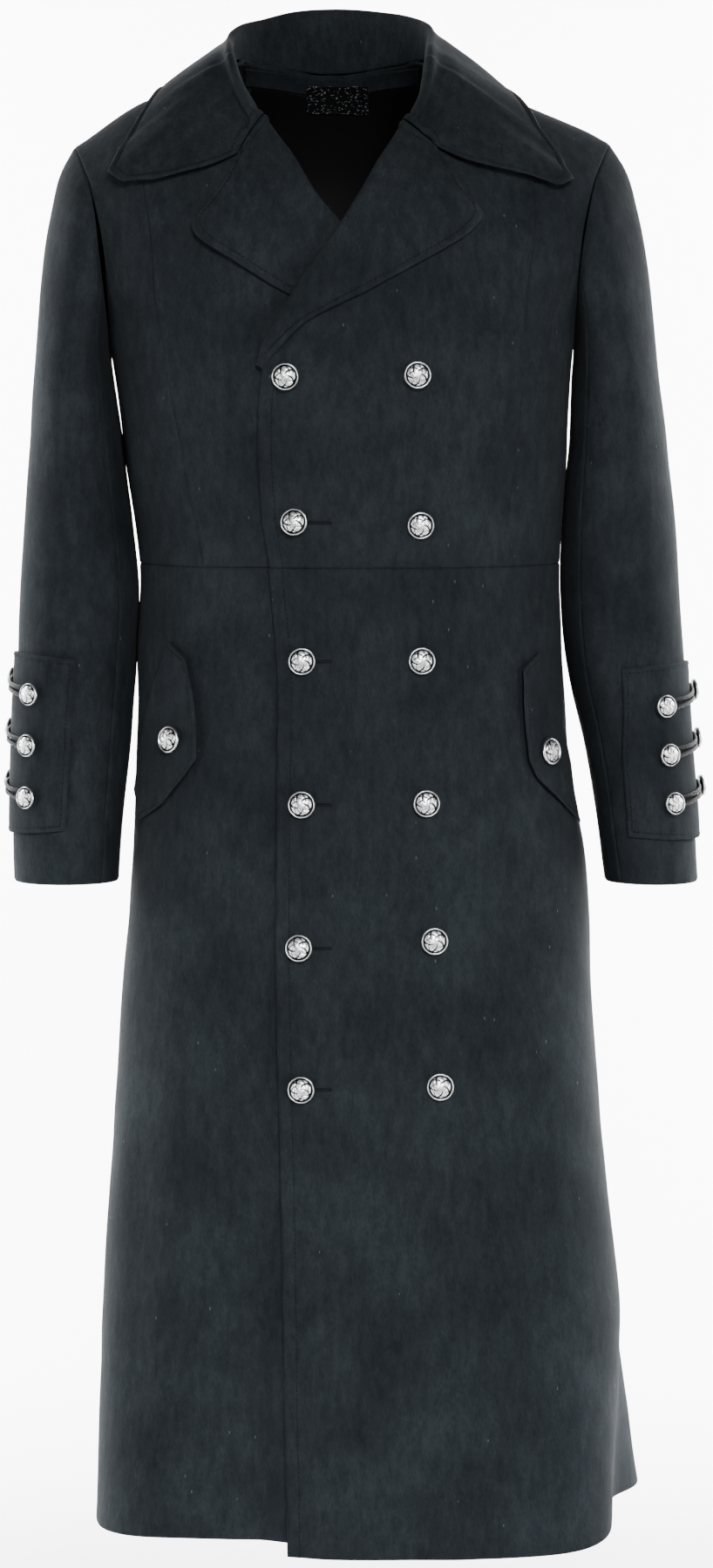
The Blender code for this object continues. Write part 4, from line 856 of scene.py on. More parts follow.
# Rings from the armhole, which blend into the sleeve's own ellipses over the cap
def sleeveRings(side):
    rows = (body["waistZ"],) + body["armholeRows"]
    _, beside, behind = panelNets(side, rows)
    up, down = beside[1:, -1], behind[1:, -1][::-1]
    edge = np.concatenate([up, down[1:-1]])
    count, half = len(edge), len(up) - 1
    travelled = np.concatenate([[0.0], np.cumsum(np.linalg.norm(np.roll(edge, -1, axis=0) - edge, axis=1))])
    wayDown = travelled[half + 1:count] - travelled[half]
    byLength = np.concatenate([travelled[:half + 1] / travelled[half] * math.pi,
                               math.pi + wayDown / (travelled[count] - travelled[half]) * math.pi])
    even = np.arange(count) / count * 2 * math.pi
    firstZ, lastZ = sleeve[side][0][0], sleeve[side][-1][0]
    rings = [edge]
    for share in sleeve["capSteps"]:
        turn = byLength + (even - byLength) * share
        ring = edge + (sleevePoint(side, turn, firstZ) - edge) * share
        swell = sleeve["capFullness"][side] * math.sin(math.pi * share ** 0.6)
        ring[:, 0] += side * swell * np.clip(-np.cos(turn), 0.0, 1.0)
        underarm = sleeve["underarmFullness"] * math.sin(math.pi * share)
        ring[:, 0] += side * underarm * np.clip(np.cos(turn), 0.0, 1.0)
        ring[:, 1] -= sleeve["capDepthShare"] * swell * np.sin(turn)
        rings.append(ring)
    rings += [sleevePoint(side, even, z) for z in np.linspace(firstZ, lastZ, 8)]
    return np.array(rings)


for side in (left, right):
    rings = sleeveRings(side)
    count = rings.shape[1]
    spans = {"top": (sleeve["frontSeam"], sleeve["backSeam"]),
             "under": (sleeve["backSeam"], count + sleeve["frontSeam"])}
    for title, (start, end) in spans.items():
        margin = 2
        columns = [i % count for i in range(start - margin, end + 1 + margin)]
        name = f"sleeve_{title}_{sideName[side]}"
        edges = {**allEdges("seam"), "top": "hem"}
        clothPieces[name] = clothPiece(
            f"sleevePanel_{title}_{sideName[side]}", rings[:, columns], -side, edges, [name],
            sleeve["creases"], margin=margin)
print("sleeves made")


# Lapels

lapel = {
    # height on the fold line, then the free edge's x and z across from it
    left: ((-51.2, 79, -74), (-60, 90, -90), (-72, 103, -114), (-86, 118, -129), (-104, 106, -146),
           (-128, 85, -160), (-152, 56, -176), (-176, 26, -192), (-200, -4, -206.5), (-222, -31, -222),
           (-244, -55, -246), (-257, -64, -258)),
    right: ((-47.2, -86, -79), (-58, -97, -101), (-72, -112, -121), (-86, -124.5, -137), (-100, -118, -150),
            (-120, -90, -168), (-142, -62, -186), (-165, -36, -200), (-190, -8, -214), (-215, 24, -228),
            (-243, 55, -246)),
    # columns from the inside of the fold outwards: how far past it, height, height where pressed flat
    "fold": ((3.7, -1.6, -1.5, 3.3), (4.2, 1.2, 0.6, 3.5), (2.0, 4.2, 2.8, 1.9), (-3.0, 5.6, 3.3, -3.0)),
    "leaf": ((0.12, 6.2), (0.3, 7.2), (0.5, 7.2), (0.68, 6.4), (0.85, 5.2), (1.0, 4.2)),
    # towards its foot the leaf comes down to a share of its height; the right one lies pressed flat
    # where the left front laps over it, beyond a line from x and z to x and z
    "taper": (-260, -228), "taperKeeps": 0.2,
    "flatHeight": 3.2, "lapLine": ((-63, -247), (-3, -145)), "lapFade": (6, 34),
    "edges": {**allEdges("plain"), "last": "turned", "bottom": "turned"}, "spacing": 3.5,
}


def lappedShare(x, z):  # 1 where the left front lies over the right lapel, 0 away from it
    (x0, z0), (x1, z1) = lapel["lapLine"]
    beyond = ((x1 - x0) * (z - z0) - (z1 - z0) * (x - x0)) / math.hypot(x1 - x0, z1 - z0)
    return 1.0 - smoothStep(*lapel["lapFade"], beyond)


# A leaf over the front: each column has its share of the way to the free edge and its height
def lapelNet(foldX, foldZ, freeX, freeZ, side):
    foldX, foldZ, freeX, freeZ = (np.atleast_1d(np.asarray(v, float))[:, None]
                                  for v in (foldX, foldZ, freeX, freeZ))
    width = np.hypot(freeX - foldX, freeZ - foldZ)
    past = np.array([row[0] for row in lapel["fold"]])[None, :]
    share = -np.maximum(-0.3 * width, past) / width
    height = np.array([row[1] for row in lapel["fold"]])[None, :] + 0.0 * width
    flat = np.array([row[2] for row in lapel["fold"]])[None, :] + 0.0 * width
    start = np.minimum(3.0, width * 0.3) / width
    leafShare, leafHeight = (np.array(v)[None, :] for v in zip(*lapel["leaf"]))
    foldTop = lapel["fold"][-1][1]
    share = np.concatenate([share, start + (1 - start) * leafShare], axis=1)
    height = np.concatenate([height, foldTop + (leafHeight - foldTop) * np.minimum(1.0, width / 40)], axis=1)
    flat = np.concatenate([flat, lapel["flatHeight"] + 0.0 * (leafHeight * width)], axis=1)
    x = foldX + (freeX - foldX) * share
    z = foldZ + (freeZ - foldZ) * share
    if side == right:
        height = height + (flat - height) * lappedShare(x, z)
    taper = lapel["taperKeeps"] + (1 - lapel["taperKeeps"]) * smoothStep(*lapel["taper"], foldZ)
    height = np.where(height > 0, height * taper, height)
    points = bodyAt(x, z)
    base = overlapLift(x, z) if side == left else 0.0
    return points + bodyNormal(points, np.full(x.shape, True)) * (base + height)[..., None]


for side in (left, right):
    table = np.array(lapel[side], float)
    at = np.linspace(0, len(table) - 1, 4 * len(table) - 3)
    foldZ, freeX, freeZ = curveThrough(np.arange(len(table)), table, at).T
    net = lapelNet(edgeX(side, foldZ), foldZ, freeX, freeZ, side)
    name = f"lapel_{sideName[side]}"
    clothPieces[name] = clothPiece(
        f"lapelLeaf_{sideName[side]}", net, -side, lapel["edges"], [name],
        spacing=lapel["spacing"])
print("lapels made")


# Collar

collar = {
    # front: seam's z, stand, fold line's x, then the free edge
    "front": {
        left: ((-43, 10, 62, 112, -100, -84), (-34, 11, 66, 160, -90, -94), (-28, 12, 68.5, 186, -85, -103),
               (-22, 13, 70, 198, -75, -97), (-12, 16, 71.5, 188, -60, -81), (-4, 19, 72, 167, -42, -62),
               (2, 22, 72.5, 155, -22, -45)),
        right: ((-40, 10, -77, -116, -100, -88), (-32, 11, -81, -157, -92, -98), (-26, 12, -84, -188, -85, -99),
                (-20, 13, -86, -200, -75, -90), (-12, 16, -89, -191, -60, -70), (-5, 19, -91, -176, -42, -55),
                (1, 22, -92, -163, -22, -39)),
    },
    # back: direction of the seam, then the fold line and the free edge
    "back": {
        left: ((8, 73, 16, 30, 146, 2, -27), (20, 71, 30, 36.5, 137, 32, -26), (34, 64, 51, 42.5, 119, 64, -26),
               (50, 50, 69, 47.5, 84, 85, -28), (68, 28, 80, 50, 43, 95, -31)),
        right: ((8, -92, 16, 25, -154, 2, -28), (20, -90, 30, 31, -147, 32, -26), (34, -82, 51, 38, -129, 64, -26),
                (50, -66, 69, 43.5, -96, 85, -28), (68, -42, 80, 49.5, -56, 95, -31)),
    },
    "centre": (90, -7, 84, 51, -7, 99, -33),
    "clearance": 5.0, "baseGap": 2.0, "gorgeGap": 1.2, "rollRadius": 4.5, "leafBend": 0.04, "rowsBetween": 4,
    "edges": {**allEdges("turned"), "first": "plain"}, "spacing": 3.2,
}


def collarLift(point):  # how far the collar stays off the body at a point
    lapped = point[0] > 40 and point[1] < 0
    return collar["clearance"] + (float(overlapLift(point[0], point[2])) if lapped else 0.0)


# The collar's section: up the stand, half a circle over the fold, then a Bezier leaf
def collarProfile(base, roll, edge):
    edge = standOff(edge, collarLift(edge))
    up = unit(roll - base)
    over = edge - roll
    over = unit(over - up * np.dot(over, up))
    radius = collar["rollRadius"]
    centre = roll + over * radius - up
    turns = np.radians((0, 60, 120, 180))[:, None]
    arc = centre + radius * (up * np.sin(turns) - over * np.cos(turns))
    bend = (arc[-1] + edge) / 2 + up * collar["leafBend"] * np.linalg.norm(edge - arc[-1])
    t = np.array((0.2, 0.45, 0.72, 1.0))[:, None]
    leaf = (1 - t) ** 2 * arc[-1] + 2 * t * (1 - t) * bend + t * t * edge
    leaf = np.array([standOff(p, collarLift(p)) for p in leaf])
    return np.concatenate([[base, (base + arc[0]) / 2], arc, leaf])


def frontProfile(row, side):  # the collar's section above the front's neck seam
    seamZ, stand, rollX, *edge = row
    seam = bodyAt(edgeX(side, seamZ), seamZ)
    outward = bodyNormal(seam, np.array(True))
    roll = seam + outward * stand
    roll[0] = rollX
    return collarProfile(seam + outward * collar["baseGap"], roll, np.array(edge, float))


def backProfile(row, side):  # the collar's section above the back's half ellipse
    direction, *places = row
    middle, half = neckMiddle()
    x = np.array(middle + side * half * math.cos(math.radians(direction)))
    seam = bodyAt(x, panelTop(x, False), False)
    outward = bodyNormal(seam, np.array(False))
    places = np.array(places, float)
    return collarProfile(seam + outward * collar["baseGap"], places[:3], places[3:])


def gorgeProfile(side):  # the collar's end has the lapel's own section, beside its top edge
    foldZ, freeX, freeZ = lapel[side][0]
    foldX = float(edgeX(side, foldZ))
    along = unit(np.array((freeX - foldX, freeZ - foldZ)))
    dx, dz = -along[1] * side * collar["gorgeGap"], along[0] * side * collar["gorgeGap"]
    return lapelNet(foldX + dx, foldZ + dz, freeX + dx, freeZ + dz, side)[0]


# Rows between those of the table: the seam and the fold line on a cubic, the free edge straight,
# so that its corners stay sharp
def frontRows(side):
    table = np.array(collar["front"][side], float)
    places = np.arange(len(table))
    at = np.linspace(0, len(table) - 1, (len(table) - 1) * collar["rowsBetween"] + 1)
    free = np.stack([np.interp(at, places, table[:, i]) for i in (3, 4, 5)], axis=1)
    return np.concatenate([curveThrough(places, table[:, :3], at), free], axis=1)


halves = {}
for side in (right, left):
    halves[side] = [gorgeProfile(side)]
    halves[side] += [frontProfile(row, side) for row in frontRows(side)]
    halves[side] += [backProfile(row, side) for row in collar["back"][side]]
net = np.array(halves[right] + [backProfile(collar["centre"], right)] + halves[left][::-1])
clothPieces["collar"] = clothPiece(
    "collarLeaf", net, -1, collar["edges"], ["collar"],
    spacing=collar["spacing"])
print("collar made")


# Inside of the back

inner = {
    "clearance": 1.8, "wall": 1.2, "facingDrops": (16.0, 8.0, 1.5), "facingInset": 7.0, "liningGap": 1.0,
    "liningRows": (-420, -360, -300, -245, -205, -165, -128, -95, -66, -40, -10), "bendRow": -128,
    "liningShares": ((-420, 0.93), (-245, 0.93), (-205, 0.9), (-116, 0.9), (-40, 0.42), (-10, 0.34)),
    # woven label on the lining: middle, half width and half height, and how far off the lining
    "label": {"x": -4.0, "z": -22.0, "halfWide": 28.0, "halfHigh": 12.5, "off": 0.5, "wall": 0.5},
}


def innerBack(x, z):  # behind the back panels, by their wall and the clearance
    points = bodyAt(x, z, False)
    return points - bodyNormal(points, np.full(x.shape, False)) * (clothLook["wall"] + inner["clearance"])


plainEdges = allEdges("plain")
x = np.linspace(body["neckRight"] + inner["facingInset"], body["neckLeft"] - inner["facingInset"], 19)[None, :]
z = panelTop(x, False) - np.array(inner["facingDrops"])[:, None]
clothPiece("neckFacing", innerBack(x + 0.0 * z, z), -1, plainEdges, ["back_neck_facing"],
           wall=inner["wall"])
z = np.array(inner["liningRows"], float)[:, None]
centre, half, _ = bodySection(z)
half = np.where(z < body["armhole"][0][0], half, pairsLine(body["armhole"], z))
x = centre + np.linspace(-1.0, 1.0, 19)[None, :] * half * pairsLine(inner["liningShares"], z)
belowFacing = panelTop(x, False) - inner["facingDrops"][0] - inner["liningGap"]
bent = np.clip((z - inner["bendRow"]) / (inner["liningRows"][-1] - inner["bendRow"]), 0.0, 1.0)
z = z + (belowFacing - inner["liningRows"][-1]) * bent ** 2
clothPiece("backLining", innerBack(x, z), -1, plainEdges, ["back_lining"],
           material=satinMaterial, wall=inner["wall"], spacing=7.0)
label = inner["label"]
x = (label["x"] + np.linspace(-1.0, 1.0, 9) * label["halfWide"])[None, :]
z = (label["z"] + np.linspace(-1.0, 1.0, 5) * label["halfHigh"])[:, None]
net = innerBack(x + 0.0 * z, z + 0.0 * x)
net = net - bodyNormal(net, np.full(net.shape[:2], False)) * (inner["wall"] + label["off"] + label["wall"])
clothPiece("neckLabel", net, 1, plainEdges, [], material=labelMaterial,
           wall=label["wall"], spacing=4.0)
print("inside made")


# Pocket flaps

flap = {
    # from the top down: the sewn edge's x and z, then the free edge's
    left: ((168, -501, 151, -515), (180, -535, 151, -542), (189, -570, 153, -567), (196, -600, 156, -592),
           (199, -628, 162, -606), (202, -650, 176, -619)),
    right: ((-145, -491, -129, -505), (-157, -525, -123, -534), (-166, -560, -120, -562), (-172, -595, -120, -590),
            (-176, -622, -132, -607), (-172, -646, -149, -628)),
    "gap": 1.9, "flare": 3.2,
    "edges": {**allEdges("narrow"), "first": "seam"}, "spacing": 3.0,
}
for side in (left, right):
    table = np.array(flap[side], float)
    at = np.linspace(0, len(table) - 1, 26)
    corners = np.stack([np.interp(at, np.arange(len(table)), table[:, i]) for i in range(4)], axis=1)
    share = np.linspace(0.0, 1.0, 9)[None, :]
    x = corners[:, :1] + (corners[:, 2:3] - corners[:, :1]) * share
    z = corners[:, 1:2] + (corners[:, 3:] - corners[:, 1:2]) * share
    net = skirtAt(x, z, clothLook["wall"] + flap["gap"] + flap["flare"] * share ** 2 + 0.0 * z)
    name = f"pocket_flap_{sideName[side]}"
    clothPieces[name] = clothPiece(f"pocketFlap_{sideName[side]}", net, side, flap["edges"], [name],
                                   spacing=flap["spacing"])


# Cuff tabs

cuff = {
    "front": {left: ((-662, 65), (-592, 72), (-519, 84)), right: ((-655, 90), (-592, 89), (-511, 88))},
    "back": 236, "topZ": {left: -516, right: -508}, "bottomZ": {left: -661, right: -656},
    "lift": 3.6, "bow": 4.0, "middleZ": -600,
    "buttonZ": {left: (-549, -591, -633), right: (-539, -583, -628)},
    "frontButton": {left: 117, right: 127}, "backButton": {left: 196, right: 204}, "backRise": 10,
    "edges": allEdges("narrow"), "spacing": 4.0,
}


def tabPoint(side, turn, z, lift):  # the sleeve's ellipse plus a lift along its normal
    return sleevePoint(side, turn, z) + sleeveNormal(side, turn, z) * np.asarray(lift)[..., None]


def wavyTabPoint(side, turn, z, lift):  # the same with the waves of the cloth below
    return tabPoint(side, turn, z, lift + softWaves(sleevePoint(side, turn, z)))


for side in (left, right):
    rows = np.linspace(cuff["bottomZ"][side], cuff["topZ"][side], 16)[:, None]
    start = np.radians(pairsLine(cuff["front"][side], rows))
    share = np.linspace(0.0, 1.0, 24)[None, :]
    turn = start + (math.radians(cuff["back"]) - start) * share
    z = rows + cuff["bow"] * np.sin(share * math.pi) * np.where(rows > cuff["middleZ"], 1.0, -1.0)
    name = f"cuff_tab_{sideName[side]}"
    clothPieces[name] = clothPiece(f"cuffTab_{sideName[side]}", tabPoint(side, turn, z, cuff["lift"] + 0.0 * z),
                                   side, cuff["edges"], [name],
                                   spacing=cuff["spacing"])
print("flaps and cuff tabs made")


# Buttons

button = {
    "frontRadius": 11.5, "cuffRadius": 9.8, "frontShank": 2.6, "cuffShank": 5.0, "gap": 0.5,
    "rings": 30, "sectors": 80, "relief": 0.42, "domeHeight": 4.6, "edgeHeight": 1.4,
    # rim and channel: share of the radius, width as a share, and height or depth
    "rim": (0.93, 0.045, 1.1), "channel": (0.81, 0.06, 0.5),
    # two sets of cuts: how many, how far they twist outwards, their width, and the shares they start over
    "cuts": ((5, 4.0, 0.32, (0.12, 0.3)), (7, -9.0, 0.3, (0.3, 0.5))), "fleckShare": 0.28,
    # rings of the underside: share of the radius, height and relief; then the radii of the shank
    "back": ((1.0, 0.9, 0.9), (0.86, 0.0, 0.2)), "shankRadii": (2.4, 2.2), "shankRelief": 0.1,
    # how far each button is turned about its own axis, in radians
    "frontTurn": 0.7, "flapTurn": 1.1, "cuffTurn": 0.9,
    "edgeColumn": ((-46, -265), (-39, -388), (-33, -506), (-33, -627), (-35, -748), (-33, -867)),
    "sideColumn": ((63, -264), (66, -390), (67, -506), (71, -626), (78, -742), (83, -865)),
    "flap": {left: (172, -586), right: (-141, -575)}, "flapLift": 1.0,
    # buttons that hang askew on their threads: how far their face leans along x, y and z
    "lean": {("edge", 2): (-0.05, 0.0, 0.24), ("edge", 3): (0.05, 0.0, -0.03), ("edge", 5): (-0.04, 0.0, 0.07),
             ("side", 1): (-0.03, 0.0, 0.05), ("side", 4): (0.06, 0.0, -0.05), ("side", 6): (-0.05, 0.0, 0.04)},
}


# A struck dome: a rim ring, a sunk channel, and a rosette whose petals are parted by two sets of
# spiral cuts that cross. Its height is a cosine bell from rim to crown plus the relief.
def buttonMesh(radius, shank, turned):
    across = np.linspace(0.0, 1.0, button["rings"])[:, None]
    turn = np.linspace(0.0, 2 * math.pi, button["sectors"], endpoint=False)[None, :] + turned
    rim, channel = (np.exp(-((across - at) / width) ** 2) for at, width, _ in (button["rim"], button["channel"]))
    cut, cross = (np.exp(-(np.cos(count / 2 * turn + twist * across) / width) ** 2) * smoothStep(*begins, across)
                  for count, twist, width, begins in button["cuts"])
    fleck = 0.5 + 0.5 * np.sin(14.0 * turn + 31.0 * across) * np.sin(23.0 * across - 3 * turn)
    relief = (1.0 - np.maximum(cut, cross)) * (1.0 - button["fleckShare"] + button["fleckShare"] * fleck)
    relief = np.maximum(relief * (1.0 - channel), rim)
    dome = button["domeHeight"] * np.cos(across * math.pi / 2 * 0.93) ** 0.8 + 0.4
    depth = button["relief"] * radius / button["frontRadius"]
    height = dome + depth * (relief * 1.6 - 0.6) + button["rim"][2] * rim - button["channel"][2] * channel
    height = np.where(across > 0.985, button["edgeHeight"], height)
    out = across * radius + 0.0 * turn
    top = np.stack([out * np.cos(turn), out * np.sin(turn), height + 0.0 * turn], axis=-1)[1:]
    upper, lower = button["shankRadii"]
    under = [(share * radius, level, amount) for share, level, amount in button["back"]]
    under += [(upper, 0.0, button["shankRelief"]), (lower, -shank, button["shankRelief"])]
    rings = np.concatenate([top, [np.stack([out * np.cos(turn[0]), out * np.sin(turn[0]),
                                            np.full(turn.shape[1], level)], axis=-1) for out, level, _ in under]])
    count, sectors = rings.shape[:2]
    index = np.arange(count * sectors).reshape(count, sectors)
    nextOne = np.roll(index, -1, axis=1)
    quads = np.stack([index[:-1], index[1:], nextOne[1:], nextOne[:-1]], axis=-1).reshape(-1, 4).tolist()
    crown = np.array([[0.0, 0.0, float(height[0, 0])]])
    points = np.concatenate([rings.reshape(-1, 3), crown, [[0.0, 0.0, -shank]]])
    caps = [[int(a), int(b), len(points) - 2] for a, b in zip(index[0], nextOne[0])]
    caps += [[int(b), int(a), len(points) - 1] for a, b in zip(index[-1], nextOne[-1])]
    underAmount = np.repeat([amount for _, _, amount in under], sectors)
    amount = np.concatenate([(relief + 0.0 * turn)[1:].reshape(-1), underAmount, [1.0, button["shankRelief"]]])
    return points, quads + caps, amount


# Turned so that its own height runs outward, with its shank's foot just off the cloth
def addButton(name, node, place, outward, radius, shank, turned):
    points, faces, amount = buttonMesh(radius, shank, turned)
    turn = np.array(Vector(outward).to_track_quat("Z", "Y").to_matrix())
    points = points @ turn.T + place + outward * (shank + button["gap"])
    mesh = smoothMesh(name, points, faces)
    mesh.attributes.new("relief", "FLOAT", "POINT").data.foreach_set("value", amount)
    addPiece(name, mesh, silverMaterial, [node])


# Places on the left front with its waves and creases, for x and z of one height
def frontPlace(x, z):
    x, z = np.asarray(x, float), np.asarray(z, float) + 0.0 * np.asarray(x, float)
    front = np.full(x.shape, True)
    if z.flat[0] > body["waistZ"]:
        point = bodyAt(x, z)
        outward, creases = bodyNormal(point, front), bodice["creases"]
    else:
        angle = bodyAngle(x, z, front)
        point, outward, creases = skirtPoint(angle, z), skirtNormal(angle, z), skirt["creases"]
    flat = point.reshape(1, -1, 3)
    height = softWaves(flat) + creaseHeight(flat, outward.reshape(flat.shape), creases)
    return point + outward * (overlapLift(x, z) + height.reshape(x.shape))[..., None], outward


for title, places in (("edge", button["edgeColumn"]), ("side", button["sideColumn"])):
    for number, (x, z) in enumerate(places, 1):
        place, outward = frontPlace(x, z)
        outward = unit(outward + np.array(button["lean"].get((title, number), (0.0, 0.0, 0.0))))
        addButton(f"frontButton_{title}_{number}", f"front_button_{title}_{number}", place, outward,
                  button["frontRadius"], button["frontShank"], button["frontTurn"] * number + z)
for side in (left, right):
    x, z = (np.array(float(v)) for v in button["flap"][side])
    angle = bodyAngle(x, z, np.array(True))
    outward = skirtNormal(angle, z)
    place = skirtPoint(angle, z)
    place = place + outward * (clothLook["wall"] + flap["gap"] + button["flapLift"] + float(softWaves(place)))
    addButton(f"flapButton_{sideName[side]}", f"flap_button_{sideName[side]}", place, outward,
              button["frontRadius"], button["frontShank"], button["flapTurn"])


def cuffPlaces(side, index):  # angle and height of the two buttons that a loop joins
    z = cuff["buttonZ"][side][index]
    return ((math.radians(cuff["frontButton"][side]), z),
            (math.radians(cuff["backButton"][side]), z + cuff["backRise"]))


for side in (left, right):
    for index in range(3):
        for title, (turn, z) in zip(("front", "back"), cuffPlaces(side, index)):
            turn, z = np.array(turn), np.array(float(z))
            addButton(f"cuffButton_{sideName[side]}_{title}_{index + 1}",
                      f"cuff_button_{sideName[side]}_{title}_{index + 1}",
                      wavyTabPoint(side, turn, z, cuff["lift"]), sleeveNormal(side, turn, z),
                      button["cuffRadius"], button["cuffShank"], button["cuffTurn"] * index)
print("buttons made")


# Cord loops: three strands plaited round the loop's own line

loop = {"halfWidth": 4.4, "narrowing": 0.42, "reach": 1.12, "rest": 0.8, "radius": 1.5,
        "strand": 1.0, "sway": 1.15, "rise": 0.55, "plaitMm": 8.0, "sides": 6, "stepMm": 1.0}


# Two sides that draw together between the buttons, and half a turn round each shank
def loopPath(side, index):
    (turnA, zA), (turnB, zB) = cuffPlaces(side, index)
    ends = tabPoint(side, np.array((turnA, turnB)), np.array((zA, zB), float), np.zeros(2))
    chord = np.linalg.norm(ends[1] - ends[0]) * loop["reach"]
    run = np.linspace(0.0, 1.0, 7)
    bow = np.radians(np.linspace(-60, 60, 3))
    half = loop["halfWidth"]
    along = np.concatenate([run, 1 + np.cos(bow) * half / chord, run[::-1], -np.cos(bow) * half / chord])
    narrowed = 1.0 - loop["narrowing"] * np.sin(math.pi * run)
    aside = np.concatenate([-narrowed, np.sin(bow), narrowed, -np.sin(bow)]) * half
    turn = turnA + (turnB - turnA) * along
    z = zA + (zB - zA) * along + aside
    lift = cuff["lift"] + loop["rest"] + loop["radius"] + 0.0 * turn
    return wavyTabPoint(side, turn, z, lift), sleeveNormal(side, turn, z)


def closedCurve(points, step):  # even steps round a closed cubic
    wrapped = np.concatenate([points[-3:], points, points[:3]])
    at = lengthsAlong(wrapped[:, :3])
    begin, end = at[3], at[3 + len(points)]
    count = int((end - begin) / step)
    return curveThrough(at, wrapped, np.linspace(begin, end, count, endpoint=False)), end - begin


# Each strand swings across the cord as a sine and over and under as a sine of twice the turn
def addLoop(side, index):
    name = f"cuffLoop_{sideName[side]}_{index + 1}"
    points, normals = loopPath(side, index)
    line, length = closedCurve(np.concatenate([points, normals], axis=1), loop["stepMm"])
    path, up = line[:, :3], unit(line[:, 3:])
    ahead = unit(np.roll(path, -1, axis=0) - np.roll(path, 1, axis=0))
    aside = unit(np.cross(up, ahead))
    up = unit(np.cross(ahead, aside))
    plaits = max(round(length / loop["plaitMm"]), 1)
    phase = np.arange(len(path)) / len(path) * 2 * math.pi * plaits
    allPoints, allFaces = [], []
    for strand in range(3):
        shift = phase + strand * 2 * math.pi / 3
        centre = path + aside * (loop["sway"] * np.sin(shift))[:, None]
        centre = centre + up * (loop["rise"] * np.sin(2 * shift))[:, None]
        forward = unit(np.roll(centre, -1, axis=0) - np.roll(centre, 1, axis=0))
        across = unit(np.cross(up, forward))
        over = np.cross(forward, across)
        turn = np.linspace(0, 2 * math.pi, loop["sides"], endpoint=False)[None, :, None]
        ring = centre[:, None] + loop["strand"] * (across[:, None] * np.cos(turn) + over[:, None] * np.sin(turn))
        grid = np.arange(len(path) * loop["sides"]).reshape(len(path), -1) + sum(len(p) for p in allPoints)
        allPoints.append(ring.reshape(-1, 3))
        allFaces.append(closedTubeFaces(grid))
    mesh = smoothMesh(name, np.concatenate(allPoints), np.concatenate(allFaces).tolist())
    addPiece(name, mesh, cordMaterial, [f"cuff_loop_{sideName[side]}_{index + 1}"])


for side in (left, right):
    for index in range(3):
        addLoop(side, index)
print("cord loops made")


# Topstitching and buttonholes

stitch = {
    "long": 2.8, "pitch": 3.9, "radius": 0.42, "sides": 5, "out": 0.12, "flatness": 0.6,
    "rings": ((-0.38, 0.7), (0.0, 1.0), (0.38, 0.7)),  # place along the stitch and share of its radius
    # piece, its edge, how far from the start and the end of that edge, and the height they stop at
    "lines": (
        ("front_left", "first", 2.0, 2.0, -262), ("skirt_front_left", "first", 2.0, 2.0, 0),
        ("lapel_left", "last", 9.5, 14.0, 0), ("lapel_left", "bottom", 9.0, 9.5, 0),
        ("lapel_right", "last", 9.5, 2.0, 0), ("lapel_right", "bottom", 9.0, 9.5, 0),
        ("collar", "last", 9.5, 9.5, 200), ("collar", "bottom", 9.0, 9.5, 200), ("collar", "top", 9.0, 9.5, 200),
    ),
    "flapLines": (("last", 5.0, 5.0, 0), ("bottom", 2.0, 5.0, 0), ("top", 2.0, 5.0, 0)),
    "tabLines": (("first", 5.0, 5.0, 0), ("last", 5.0, 5.0, 0), ("bottom", 5.0, 5.0, 0), ("top", 5.0, 5.0, 0)),
    "holes": {"x": (-30.0, -9.0), "z": (-388, -506, -627, -748, -867), "halfGap": 0.9, "radius": 0.75,
              "flatness": 0.7, "sides": 4},
}
stitchLines = list(stitch["lines"])
for title, lines in (("pocket_flap", stitch["flapLines"]), ("cuff_tab", stitch["tabLines"])):
    stitchLines += [(f"{title}_{sideName[side]}",) + line for side in (left, right) for line in lines]
edgeKinds = {"front": bodice["edges"]["front"], "skirt": {"first": "frontEdge"}, "lapel": lapel["edges"],
             "collar": collar["edges"], "pocket": flap["edges"], "cuff": cuff["edges"]}


# The line that runs inside one edge at a set distance, found between the two columns on
# either side of it
def lineInside(cloth, edge, inset):
    face, normals, away = cloth["face"], cloth["normals"], cloth["distances"][edge]
    if edge in ("bottom", "top"):
        face, normals, away = np.swapaxes(face, 0, 1), np.swapaxes(normals, 0, 1), away.T
    if edge in ("last", "top"):
        face, normals, away = face[:, ::-1], normals[:, ::-1], away[:, ::-1]
    after = np.clip((away < inset).sum(axis=1), 1, away.shape[1] - 1)
    row = np.arange(len(away))
    near, far = away[row, after - 1], away[row, after]
    share = ((inset - near) / np.maximum(far - near, 1e-6))[:, None]
    line = face[row, after - 1] * (1 - share) + face[row, after] * share
    return line, unit(normals[row, after - 1] * (1 - share) + normals[row, after] * share)


